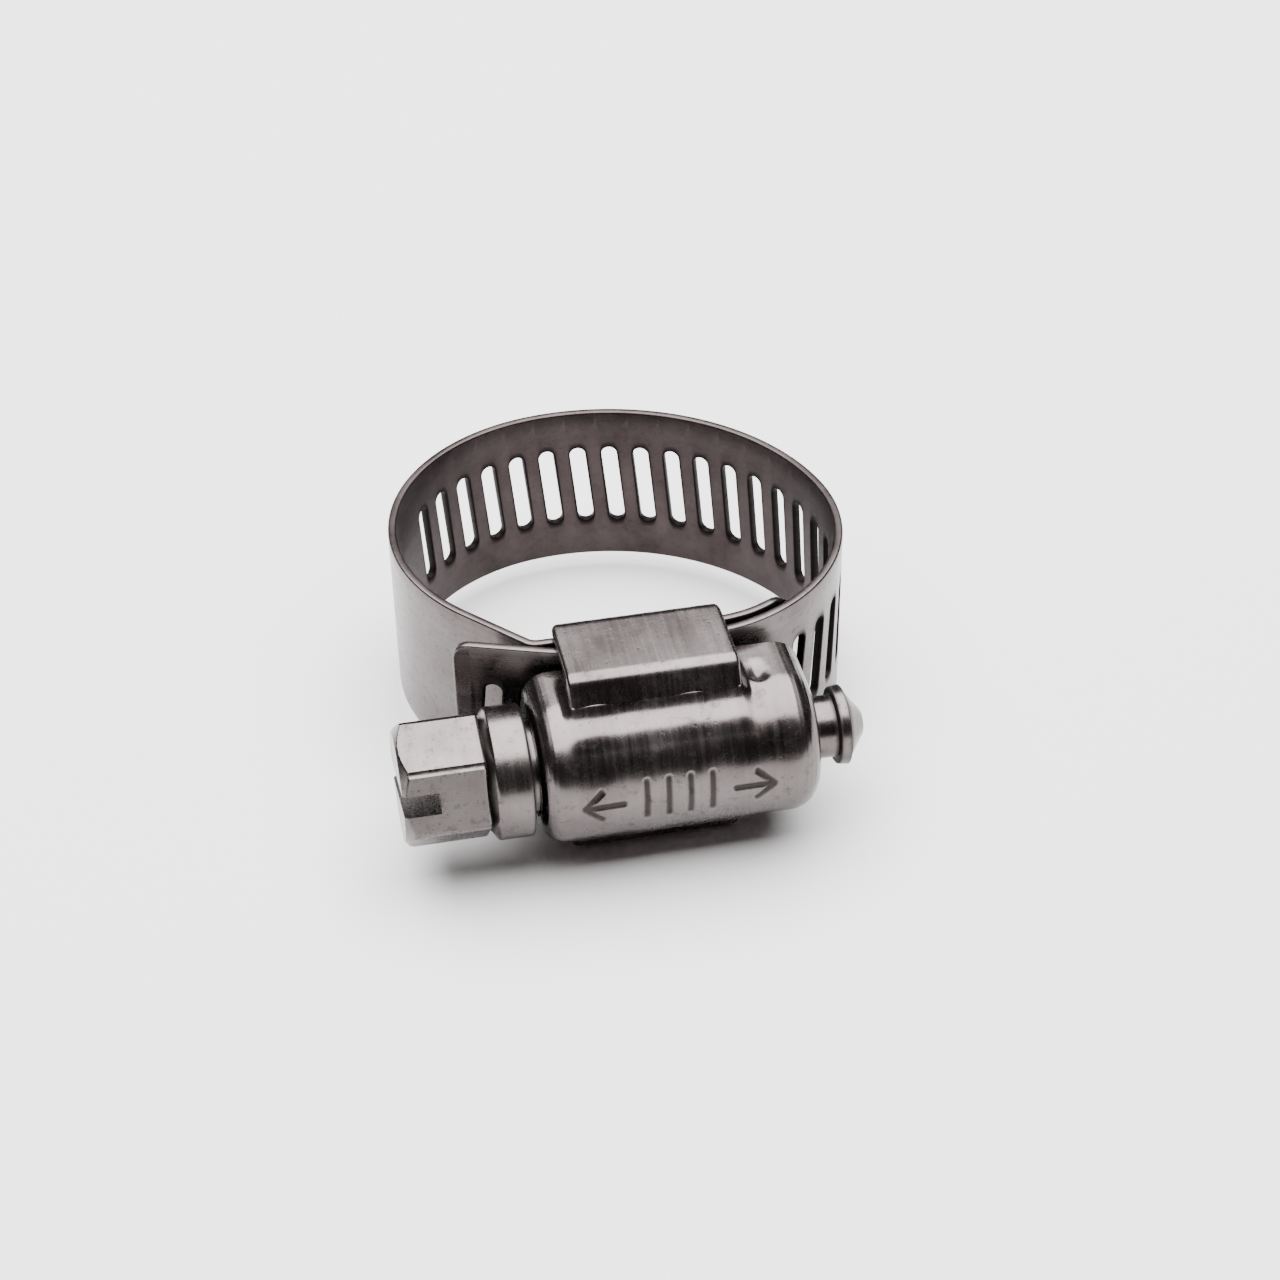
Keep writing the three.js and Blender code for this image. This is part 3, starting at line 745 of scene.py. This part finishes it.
# a lip, from its foot on the barrel to its hook
LIP_FOOT = math.radians(60)
LIP_RISE = math.radians(58)
LIP_SUNK = 0.06 * MM
LIP_HUG = 0.1 * MM
LIP_FILLET = 1.1 * MM
LIP_BROW = 0.62 * MM
LIP_HOOK = 0.68 * MM
LIP_HOOK_END = 2.98 * MM
LIP_OVER_STRIP = 0.56 * MM
LIP_CORNER = 0.22 * MM
LIP_NARROW = 0.38 * MM


def ring_profile(points, radii, steps=6):
    """A polyline with its inner corners rounded: each corner becomes an arc of its own radius."""
    out = [np.array(points[0], float)]
    for i in range(1, len(points) - 1):
        a, b, c = (np.array(points[j], float) for j in (i - 1, i, i + 1))
        one = (a - b) / np.linalg.norm(a - b)
        two = (c - b) / np.linalg.norm(c - b)
        opening = math.acos(float(np.clip(one @ two, -1.0, 1.0)))
        cut = radii[i] / math.tan(opening / 2)
        middle = b + (one + two) / np.linalg.norm(one + two) * radii[i] / math.sin(opening / 2)
        start, end = b + one * cut - middle, b + two * cut - middle
        sweep = math.pi - opening
        for k in range(steps + 1):
            share = k / steps
            weight = (math.sin((1.0 - share) * sweep), math.sin(share * sweep))
            out.append(middle + (start * weight[0] + end * weight[1]) / math.sin(sweep))
    out.append(np.array(points[-1], float))
    return np.array(out)


def resample(profile, step):
    """A polyline with extra points, so that no stretch is longer than step."""
    out = [profile[:1]]
    for a, b in zip(profile[:-1], profile[1:]):
        pieces = max(1, int(math.ceil(np.linalg.norm(b - a) / step)))
        out.append(a + (b - a) * np.linspace(0.0, 1.0, pieces + 1)[1:, None])
    return np.concatenate(out)


def capsule(u, v, a, b):
    """Distance from each (u, v) to the straight stroke from a to b."""
    a, b = np.array(a), np.array(b)
    along = b - a
    share = np.clip(((u - a[0]) * along[0] + (v - a[1]) * along[1]) / (along @ along), 0.0, 1.0)
    return np.hypot(u - a[0] - share * along[0], v - a[1] - share * along[1])


MARK_PLACE = (0.1, 0.12)


def stamp_strokes():
    """A plain turning mark: two arrows with a row of upright bars between them (x, height) in mm."""
    strokes = [((-3.9, 0.0), (-2.3, 0.0)), ((2.3, 0.0), (3.9, 0.0))]
    for side in (-1, 1):
        tip = 3.9 * side
        strokes += [((tip, 0.0), (tip - 0.7 * side, 0.7)), ((tip, 0.0), (tip - 0.7 * side, -0.7))]
    strokes += [((x, -0.9), (x, 0.9)) for x in (-1.35, -0.45, 0.45, 1.35)]
    return strokes


class CLAMP_OT_housing(bpy.types.Operator):
    """Build the stamped housing: the barrel over the worm and the two lips round the strip"""
    bl_idname = "clamp.housing"
    bl_label = "Housing"

    def execute(self, context):
        scene = context.scene
        size = scene.clamp_housing
        grain = (4200.0, 170.0, 170.0)
        metal = steel("housing_steel", scene.clamp_finish, "object", grain, 300.0, 0.3)
        barrel = self.barrel(size, scene.clamp_band)
        dress(barrel, metal, "housing", "housing_steel", "screw_housing")
        for side in (1, -1):
            dress(self.lip(size, scene.clamp_band, side), metal, "housing", "housing_steel")
        return {"FINISHED"}

    @staticmethod
    def profile(size, wall):
        """The barrel's lengthwise profile (x, radius), from the neck's hole to the tip's hole."""
        left, right = size.barrel_left + wall, size.barrel_right - wall
        radius = size.barrel_radius - wall
        corner = size.barrel_corner - wall
        points = [(left, NECK_HOLE), (left, radius), (right, radius), (right, TIP_HOLE)]
        return ring_profile(points, [0.0, corner, corner * 1.15, 0.0], 8)

    def barrel(self, size, band):
        """The barrel: a lengthwise profile carried round the front, and straight back on both sides."""
        outer = resample(self.profile(size, 0.0), 0.055 * MM)
        inner = self.profile(size, size.sheet)[::-1]
        ends = [self.edge_round(outer[-1], inner[0]), self.edge_round(inner[-1], outer[0])]
        loop = np.concatenate([outer, ends[0], inner, ends[1]])
        back = STRIP_Y - band.thick / 2 - BARREL_CLEAR + SCREW_TO_LOOP
        straight = np.linspace(back, 0.0, 6)[:-1]
        round_front = np.linspace(0.0, math.pi, BARREL_STEPS + 1)
        y = np.concatenate([straight, -np.sin(round_front), straight[::-1]])
        z = np.concatenate([np.full(5, -1.0), -np.cos(round_front), np.full(5, 1.0)])
        shift = np.concatenate([straight, np.zeros(BARREL_STEPS + 1), straight[::-1]])
        radial_y = np.where(shift != 0.0, 0.0, y)
        x, radius = loop[:, 0], loop[:, 1]
        grid = np.empty((len(y), len(loop), 3))
        grid[..., 0] = x[None]
        grid[..., 1] = shift[:, None] + radial_y[:, None] * radius[None]
        grid[..., 2] = z[:, None] * radius[None]
        dirt = self.shape(grid, len(outer), size, band)
        surface = Surface()
        surface.grid(grid + screw_origin(), dirt, around=True)
        return finish_piece(surface, "housing_barrel", 50)

    @staticmethod
    def edge_round(a, b, steps=5):
        """A half round from a to b, the free edge of the sheet."""
        middle, reach = (a + b) / 2, (a - b) / 2
        out = np.array([reach[1], -reach[0]])
        if (middle + out)[1] > middle[1]:
            out = -out
        turn = np.linspace(0.0, math.pi, steps + 2)[1:-1, None]
        return middle + reach * np.cos(turn) + 0.35 * out * np.sin(turn)

    @classmethod
    def shape(cls, grid, outer, size, band):
        """Shapes the outer wall along its radii, and returns the painted shade at each point of the grid.

        It presses in the stamped mark and a small dent, and raises the wall towards the lips' roots.
        """
        face = grid[:, :outer]
        x, y, z = (face[..., i] / MM for i in range(3))
        turn = np.arctan2(z, -y)
        radius = np.hypot(y, z)
        front = turn * size.barrel_radius / MM
        groove = np.zeros_like(x)
        for a, b in stamp_strokes():
            near = capsule(x - MARK_PLACE[0], front - MARK_PLACE[1], a, b)
            groove = np.maximum(groove, np.clip((GROOVE_HALF_WIDTH - near) / GROOVE_FLANK, 0.0, 1.0))
        dent = np.exp(-((x - DENT_PLACE[0]) / DENT_SPREAD[0]) ** 2
                      - ((front - DENT_PLACE[1]) / DENT_SPREAD[1]) ** 2)
        wave = (0.012 * np.sin(1.7 * x + 0.6) * np.cos(1.3 * front)
                + 0.008 * np.sin(3.1 * x - 2.0 * front))
        route = cls.lip_route(size, band)
        steps = np.linspace(route.start, float(route.ends[3]), 60)
        lip_y, lip_z, _ = route.at(steps)
        lip_y = lip_y + SCREW_TO_LOOP
        lip_turn = np.arctan2(lip_z, -lip_y)
        lip_radius = np.hypot(lip_y, lip_z) / MM
        before = np.maximum(lip_turn[0] - np.abs(turn), 0.0)
        above = np.interp(np.abs(turn), lip_turn, lip_radius) - radius - RAISE_FALL * before ** 2
        soft = np.where(np.abs(above) < RAISE_SOFT, (above + RAISE_SOFT) ** 2 / (4.0 * RAISE_SOFT),
                        np.maximum(above, 0.0))
        ends = np.minimum(x - size.lip_left / MM, size.lip_right / MM - x) + RAISE_MOST
        side = np.clip(ends / RAISE_FLANK, 0.0, 1.0)
        raised = np.minimum(soft, RAISE_MOST) * side * side * (3.0 - 2.0 * side)
        change = wave + raised - DENT_DEPTH * dent - groove * size.stamp_depth / MM
        on_round = radius > size.barrel_radius / MM * 0.9
        shaped = np.where(on_round & (y < RAISE_HEIGHT), change, 0.0)
        scale = 1.0 + shaped / np.maximum(radius, 1e-6)
        face[..., 1] *= scale
        face[..., 2] *= scale
        # painted shade: the stamped grooves and the dent are darkened
        dirt = np.zeros(grid.shape[:2])
        dirt[:, :outer] = np.clip(groove * 0.8 + dent * 0.35, 0.0, 1.0)
        return dirt

    @staticmethod
    def lip_route(size, band):
        """A lip's outer surface in the plane across the screw: up from the barrel, over and down."""
        seat = size.barrel_radius - LIP_SUNK
        y, z = -SCREW_TO_LOOP - seat * math.cos(LIP_FOOT), seat * math.sin(LIP_FOOT)
        start = math.radians(90) - LIP_FOOT
        climbed = LIP_FILLET * (math.cos(start) - math.cos(LIP_RISE)) + LIP_HUG * math.sin(start)
        bend = LIP_BROW * (1.0 - math.cos(LIP_RISE))
        slope = (size.lip_top - z - climbed - bend) / math.sin(LIP_RISE)
        runs = [(LIP_HUG, 0.0), (LIP_FILLET * (LIP_RISE - start), LIP_RISE - start),
                (slope, 0.0), (LIP_BROW * LIP_RISE, -LIP_RISE)]
        flat_from = float(Route(y, z, start, runs).knots[-1][0])
        hook_face = STRIP_Y + band.thick * 1.5 + CHANNEL_GAP + LIP_OVER_STRIP
        runs += [(hook_face - LIP_HOOK - flat_from, 0.0), (LIP_HOOK * math.pi / 2, -math.pi / 2),
                 (size.lip_top - LIP_HOOK - LIP_HOOK_END, 0.0)]
        return Route(y, z, start, runs)

    @staticmethod
    def lip(size, band, side):
        """A lip: a flat rounded section carried up from the barrel, back over the strip and down."""
        route = CLAMP_OT_housing.lip_route(size, band)
        steps = np.unique(np.concatenate([np.linspace(a, b, max(3, int((b - a) / (0.09 * MM)) + 2))
                                          for a, b in zip(route.begins, route.ends)]))
        half_sheet = size.sheet / 2
        quarter = np.linspace(0.0, math.pi / 2, 5)
        corners = []
        middle = (size.lip_left + size.lip_right) / 2
        half = (size.lip_right - size.lip_left) / 2
        for number, (sx, sd) in enumerate(((1, 1), (-1, 1), (-1, -1), (1, -1))):
            turn = quarter + number * math.pi / 2
            corners.append(np.stack([sx * (half - LIP_CORNER) + LIP_CORNER * np.cos(turn),
                                     sd * (half_sheet - LIP_CORNER) + LIP_CORNER * np.sin(turn)],
                                    axis=-1))
        section = resample(np.concatenate([*corners, corners[0][:1]]), 0.3 * MM)[:-1]
        yy, zz, heading = route.at(steps)
        turning = np.clip((steps - route.ends[4] + 0.3 * MM) / (0.3 * MM + route.lengths[5]), 0.0, 0.98)
        narrow = 1.0 - LIP_NARROW / half * (1.0 - np.sqrt(1.0 - turning ** 2))
        grid = np.empty((len(steps), len(section), 3))
        offset = section[:, 1] - half_sheet
        grid[..., 0] = middle + section[None, :, 0] * narrow[:, None]
        grid[..., 1] = yy[:, None] - np.sin(heading)[:, None] * offset[None]
        grid[..., 2] = side * (zz[:, None] + np.cos(heading)[:, None] * offset[None])
        surface = Surface()
        surface.grid(grid + drawing_origin(), around=True)
        return finish_piece(surface, "housing_lip_upper" if side > 0 else "housing_lip_lower", 50)


# ---------------------------------------------------------------- screw

HEAD_SIDES = 240
HEAD_SOFT = 0.1 * MM            # how far the hexagon's corners are rubbed down
HEAD_SOFT_ANGLE = 0.09
HEAD_CHAMFER = 0.42 * MM
HEAD_FACE_INSET = 0.12 * MM
HEAD_BACK_ROUND = 0.2 * MM
SHAFT_SIDES = 96
SHAFT_STEP = 0.08               # the shaft's sizes are in mm
NECK_RADIUS = 1.9
THREAD_FROM, THREAD_TO = -4.75, 5.55
JOURNAL_RADIUS, JOURNAL_TO = 1.3, 7.22
STAKE_RADIUS = 1.62
TIP_RADIUS, TIP_TO = 0.5, 8.46
THREAD_LEFT, THREAD_RIGHT = -4.3 * MM, 5.2 * MM
THREAD_WIDE, THREAD_NARROW = 0.27 * MM, 0.12 * MM


def turned_grid(profile, sides):
    """A profile of (x, radius) turned about the X axis, closed round."""
    turn = np.linspace(0.0, 2.0 * math.pi, sides, endpoint=False)
    x, radius = profile[:, 0], profile[:, 1]
    return np.stack([np.broadcast_to(x[:, None], (len(x), sides)),
                     radius[:, None] * np.cos(turn)[None], radius[:, None] * np.sin(turn)[None]], axis=-1)


class CLAMP_OT_screw(bpy.types.Operator):
    """Build the worm screw: slotted hex head, collar, thread, journal and staked tip"""
    bl_idname = "clamp.screw"
    bl_label = "Screw"

    def execute(self, context):
        scene = context.scene
        size = scene.clamp_screw
        metal = steel("screw_steel", scene.clamp_finish, "object", (3800.0, 260.0, 260.0), 380.0, 0.3)
        dress(self.head(size), metal, "screw", "screw_steel", "worm_screw")
        for piece in (self.shaft(size), self.thread(size, scene.clamp_band)):
            dress(piece, metal, "screw", "screw_steel")
        return {"FINISHED"}

    def head(self, size):
        """The hex head: at each distance its section is the smaller of a softened hexagon and the
        chamfer's circle; the driver slot is cut across its end."""
        across = size.head_flats / 2
        turn = np.linspace(0.0, 2.0 * math.pi, HEAD_SIDES, endpoint=False)
        local = (turn + size.head_turn - math.pi / 2 + math.pi / 6) % (math.pi / 3) - math.pi / 6
        hexagon = across / np.cos(local)
        corner = across / math.cos(math.pi / 6)
        rubbed = HEAD_SOFT * np.exp(-((np.abs(local) - math.pi / 6) / HEAD_SOFT_ANGLE) ** 2)
        hexagon = np.minimum(hexagon, corner - rubbed)
        left, right = size.head_left, size.head_left + size.head_length
        inward = np.linspace(0.0, 1.0, 9)[:-1]
        sloping = np.linspace(0.0, 1.0, 13)
        rounding = np.linspace(0.0, 1.0, 7)[1:]
        flank_x = np.linspace(left + HEAD_CHAMFER, right - HEAD_BACK_ROUND, 12)[1:]
        face_radius = across - HEAD_FACE_INSET
        rows_x = np.concatenate([np.full(len(inward), left), left + HEAD_CHAMFER * sloping, flank_x,
                                 right - HEAD_BACK_ROUND * (1.0 - rounding)])
        limit = np.concatenate([face_radius * inward,
                                face_radius + (corner + 0.02 * MM - face_radius) * sloping,
                                np.full(len(flank_x) + len(rounding), corner)])
        round_end = np.concatenate([np.zeros(len(rows_x) - len(rounding)),
                                    1.0 - np.sqrt(1.0 - rounding ** 2)])
        radius = np.minimum(hexagon[None], limit[:, None]) - HEAD_BACK_ROUND * round_end[:, None]
        grid = np.empty((len(rows_x), HEAD_SIDES, 3))
        grid[..., 0] = rows_x[:, None]
        grid[..., 1] = -radius * np.cos(turn)[None]
        grid[..., 2] = radius * np.sin(turn)[None]
        surface = Surface()
        surface.grid(grid, around=True)
        piece = finish_piece(surface, "screw_head", 30, screw_origin())
        self.cut_slot(piece, size)
        return piece

    @staticmethod
    def cut_slot(piece, size):
        """Cuts the driver slot with a box, and keeps the result as the piece's mesh."""
        work = bmesh.new()
        bmesh.ops.create_cube(work, size=1.0)
        across = 4 * size.head_flats
        bmesh.ops.scale(work, vec=(2 * size.slot_depth, size.slot_width, across), verts=work.verts)
        turn = Matrix.Rotation(size.head_turn + math.pi / 3, 4, "X")
        place = Vector(SCREW_AXIS)
        place.x = size.head_left + float(drawing_origin()[0])
        bmesh.ops.transform(work, matrix=Matrix.Translation(place) @ turn, verts=work.verts)
        mesh = bpy.data.meshes.new("driver_slot")
        work.to_mesh(mesh)
        work.free()
        cutter = bpy.data.objects.new("driver_slot", mesh)
        bpy.context.scene.collection.objects.link(cutter)
        cut = piece.modifiers.new("slot", "BOOLEAN")
        cut.operation, cut.solver, cut.object = "DIFFERENCE", "EXACT", cutter
        bpy.context.view_layer.update()
        evaluated = piece.evaluated_get(bpy.context.evaluated_depsgraph_get())
        result = bpy.data.meshes.new_from_object(evaluated)
        piece.modifiers.clear()
        piece.data = result
        smooth(piece, 30)
        bpy.data.objects.remove(cutter)

    def shaft(self, size):
        """Collar, neck, thread core, journal and staked tip, turned as one profile."""
        collar_left = size.head_left + size.head_length
        radius, core = size.collar_radius / MM, 1.98
        left = collar_left / MM
        inside, right = left - 0.25, left + 1.75
        collar = [(inside, 0.0), (inside, radius - 0.75), (left + 0.02, radius - 0.45),
                  (left + 0.3, radius), (right, radius), (right, NECK_RADIUS)]
        middle = [(THREAD_FROM, NECK_RADIUS), (THREAD_FROM, core), (THREAD_TO, core),
                  (THREAD_TO, JOURNAL_RADIUS), (JOURNAL_TO, JOURNAL_RADIUS), (JOURNAL_TO, STAKE_RADIUS)]
        tip = [(7.68, 1.68), (7.72, 1.5), (TIP_TO, TIP_RADIUS), (TIP_TO, 0.0)]
        radii = [0.0, 0.05, 0.08, 0.2, 0.14, 0.1, 0.02, 0.02, 0.1, 0.1, 0.08, 0.08, 0.06, 0.05, 0.25, 0.0]
        profile = resample(ring_profile([*collar, *middle, *tip], radii, 5), SHAFT_STEP) * MM
        surface = Surface()
        grid = turned_grid(profile, SHAFT_SIDES)
        # painted shade: the shaft is darkened at the collar's edges and at the steps to the journal, the
        # stake and the tip
        edges = np.array([left + 0.05, right + 0.03, 5.6, 7.2, 7.72]) * MM
        near = np.abs(profile[:, :1] - edges[None]).min(axis=1) / (0.11 * MM)
        surface.grid(grid, np.broadcast_to(0.75 * np.exp(-near ** 2)[:, None], grid.shape[:2]), around=True)
        return finish_piece(surface, "screw_shaft", 40, screw_origin())

    def thread(self, size, band):
        """The worm thread: a rounded ridge wound round the core, fading into it at both ends."""
        length = THREAD_RIGHT - THREAD_LEFT
        turns = length / band.pitch
        share = np.linspace(0.0, 1.0, int(turns * size.thread_sides) + 1)
        x = THREAD_LEFT + length * share
        turn = 2.0 * math.pi * (x - band.first_slot) / band.pitch
        root, crest = size.core_radius - 0.15 * MM, size.thread_radius
        shoulder = THREAD_NARROW + 0.05 * MM
        across = np.array([-THREAD_WIDE, -shoulder, -THREAD_NARROW, THREAD_NARROW, shoulder, THREAD_WIDE])
        height = np.array([root, crest - 0.06 * MM, crest, crest, crest - 0.06 * MM, root])
        fade = np.clip(np.minimum(share, 1.0 - share) * turns / 0.35, 0.0, 1.0)
        fade = fade * fade * (3.0 - 2.0 * fade)
        level = root + (height - root)[None] * fade[:, None]
        grid = np.stack([x[:, None] + across[None], level * np.cos(turn)[:, None],
                         level * np.sin(turn)[:, None]], axis=-1)
        surface = Surface()
        surface.grid(grid, around=True)
        return finish_piece(surface, "screw_thread", 40, screw_origin())


# ---------------------------------------------------------------- stage

FLOOR_DROP = 0.02 * MM
LIGHT_PLACE = np.array([0.0, 0.075, 0.30])
LIGHT_SIZE = 0.5
LIGHT_TINT = (1.0, 0.99, 0.985)
WORLD_TINT = (0.045, 0.032, 0.034, 1.0)


def softbox(name, place, aim, size, power, color):
    """A square area light that looks at a point."""
    light = bpy.data.lights.new(name, "AREA")
    light.shape, light.size, light.size_y = "RECTANGLE", size, size
    light.energy, light.color = power, color
    lamp = bpy.data.objects.new(name, light)
    lamp.location = place
    lamp.rotation_euler = (Vector(aim) - Vector(place)).to_track_quat("-Z", "Y").to_euler()
    bpy.context.scene.collection.objects.link(lamp)


class CLAMP_OT_stage(bpy.types.Operator):
    """Set up the floor, the lights and the camera"""
    bl_idname = "clamp.stage"
    bl_label = "Stage"

    def execute(self, context):
        stage = context.scene.clamp_stage
        self.camera(context, stage)
        self.floor(stage)
        self.lights(context, stage)
        return {"FINISHED"}

    @staticmethod
    def camera(context, stage):
        azimuth, elevation, roll = stage.azimuth, stage.elevation, stage.roll
        level = math.cos(elevation)
        back = Vector((math.sin(azimuth) * level, -math.cos(azimuth) * level, math.sin(elevation)))
        right = Vector((0.0, 0.0, 1.0)).cross(back).normalized()
        up = back.cross(right)
        leaned = right * math.cos(roll) + up * math.sin(roll)
        upright = up * math.cos(roll) - right * math.sin(roll)
        place = Vector(drawing_origin()) + back * stage.distance
        place += leaned * stage.aim_right + upright * stage.aim_up
        lens = bpy.data.cameras.new("camera")
        lens.lens, lens.sensor_width = stage.lens, 36.0
        lens.clip_start = 0.005
        camera = bpy.data.objects.new("camera", lens)
        basis = Matrix((leaned, upright, back)).transposed()
        camera.matrix_world = Matrix.Translation(place) @ basis.to_4x4()
        context.scene.collection.objects.link(camera)
        context.scene.camera = camera

    @staticmethod
    def floor(stage):
        """A wide flat floor just under the clamp's base, a disc of rings."""
        turn = np.linspace(0.0, 2.0 * math.pi, 64, endpoint=False)
        radii = np.array([0.0, 0.1, 0.3, 1.0, 3.0])
        grid = np.stack([radii[:, None] * np.cos(turn)[None], radii[:, None] * np.sin(turn)[None],
                         np.full((len(radii), len(turn)), -FLOOR_DROP)], axis=-1)
        surface = Surface()
        surface.grid(grid, around=True)
        points, dirt, faces = surface.merged()
        floor = make_object("floor", points, faces, dirt, cap=False)
        shader = Shader("floor_paper")
        texture = shader.noise(shader.node("ShaderNodeTexCoord", {}, output=3), 900.0, 3.0)
        shade = shader.mix(texture * 0.04, rgba(stage.floor_tint), rgba([0.97 * v for v in stage.floor_tint]))
        floor.data.materials.append(shader.finish(shade, 0.9, metallic=0.0))

    @staticmethod
    def lights(context, stage):
        world = bpy.data.worlds.new("studio")
        world.use_nodes = True
        sky = world.node_tree.nodes["Background"]
        sky.inputs[0].default_value = WORLD_TINT
        sky.inputs[1].default_value = 1.0
        context.scene.world = world
        place = drawing_origin() + LIGHT_PLACE
        below = place - np.array([0.0, 0.0, LIGHT_PLACE[2]])
        softbox("overhead", place, below, LIGHT_SIZE, stage.top_power, LIGHT_TINT)


class CLAMP_PT_panel(bpy.types.Panel):
    """The sidebar's list of builders"""
    bl_idname = "CLAMP_PT_panel"
    bl_label = "Hose clamp"
    bl_space_type = "VIEW_3D"
    bl_region_type = "UI"
    bl_category = "Hose clamp"

    def draw(self, context):
        for operator in OPERATORS:
            self.layout.operator(operator.bl_idname)
        for holder in SETTINGS:
            group = getattr(context.scene, holder)
            box = self.layout.box()
            for name in group.bl_rna.properties.keys():
                if name not in ("rna_type", "name"):
                    box.prop(group, name)


SETTINGS = {
    "clamp_band": ClampBandSettings,
    "clamp_housing": ClampHousingSettings,
    "clamp_screw": ClampScrewSettings,
    "clamp_finish": ClampFinishSettings,
    "clamp_stage": ClampStageSettings,
}
OPERATORS = (CLAMP_OT_stage, CLAMP_OT_strip, CLAMP_OT_housing, CLAMP_OT_screw)


def register():
    for group in SETTINGS.values():
        bpy.utils.register_class(group)
    for name, group in SETTINGS.items():
        setattr(bpy.types.Scene, name, PointerProperty(type=group))
    for part in (*OPERATORS, CLAMP_PT_panel):
        bpy.utils.register_class(part)


def unregister():
    for part in reversed((*OPERATORS, CLAMP_PT_panel)):
        bpy.utils.unregister_class(part)
    for name, group in reversed(SETTINGS.items()):
        delattr(bpy.types.Scene, name)
        bpy.utils.unregister_class(group)


def main():
    register()
    bpy.ops.clamp.stage()
    bpy.ops.clamp.strip()
    bpy.ops.clamp.housing()
    bpy.ops.clamp.screw()


if __name__ == "__main__":
    main()
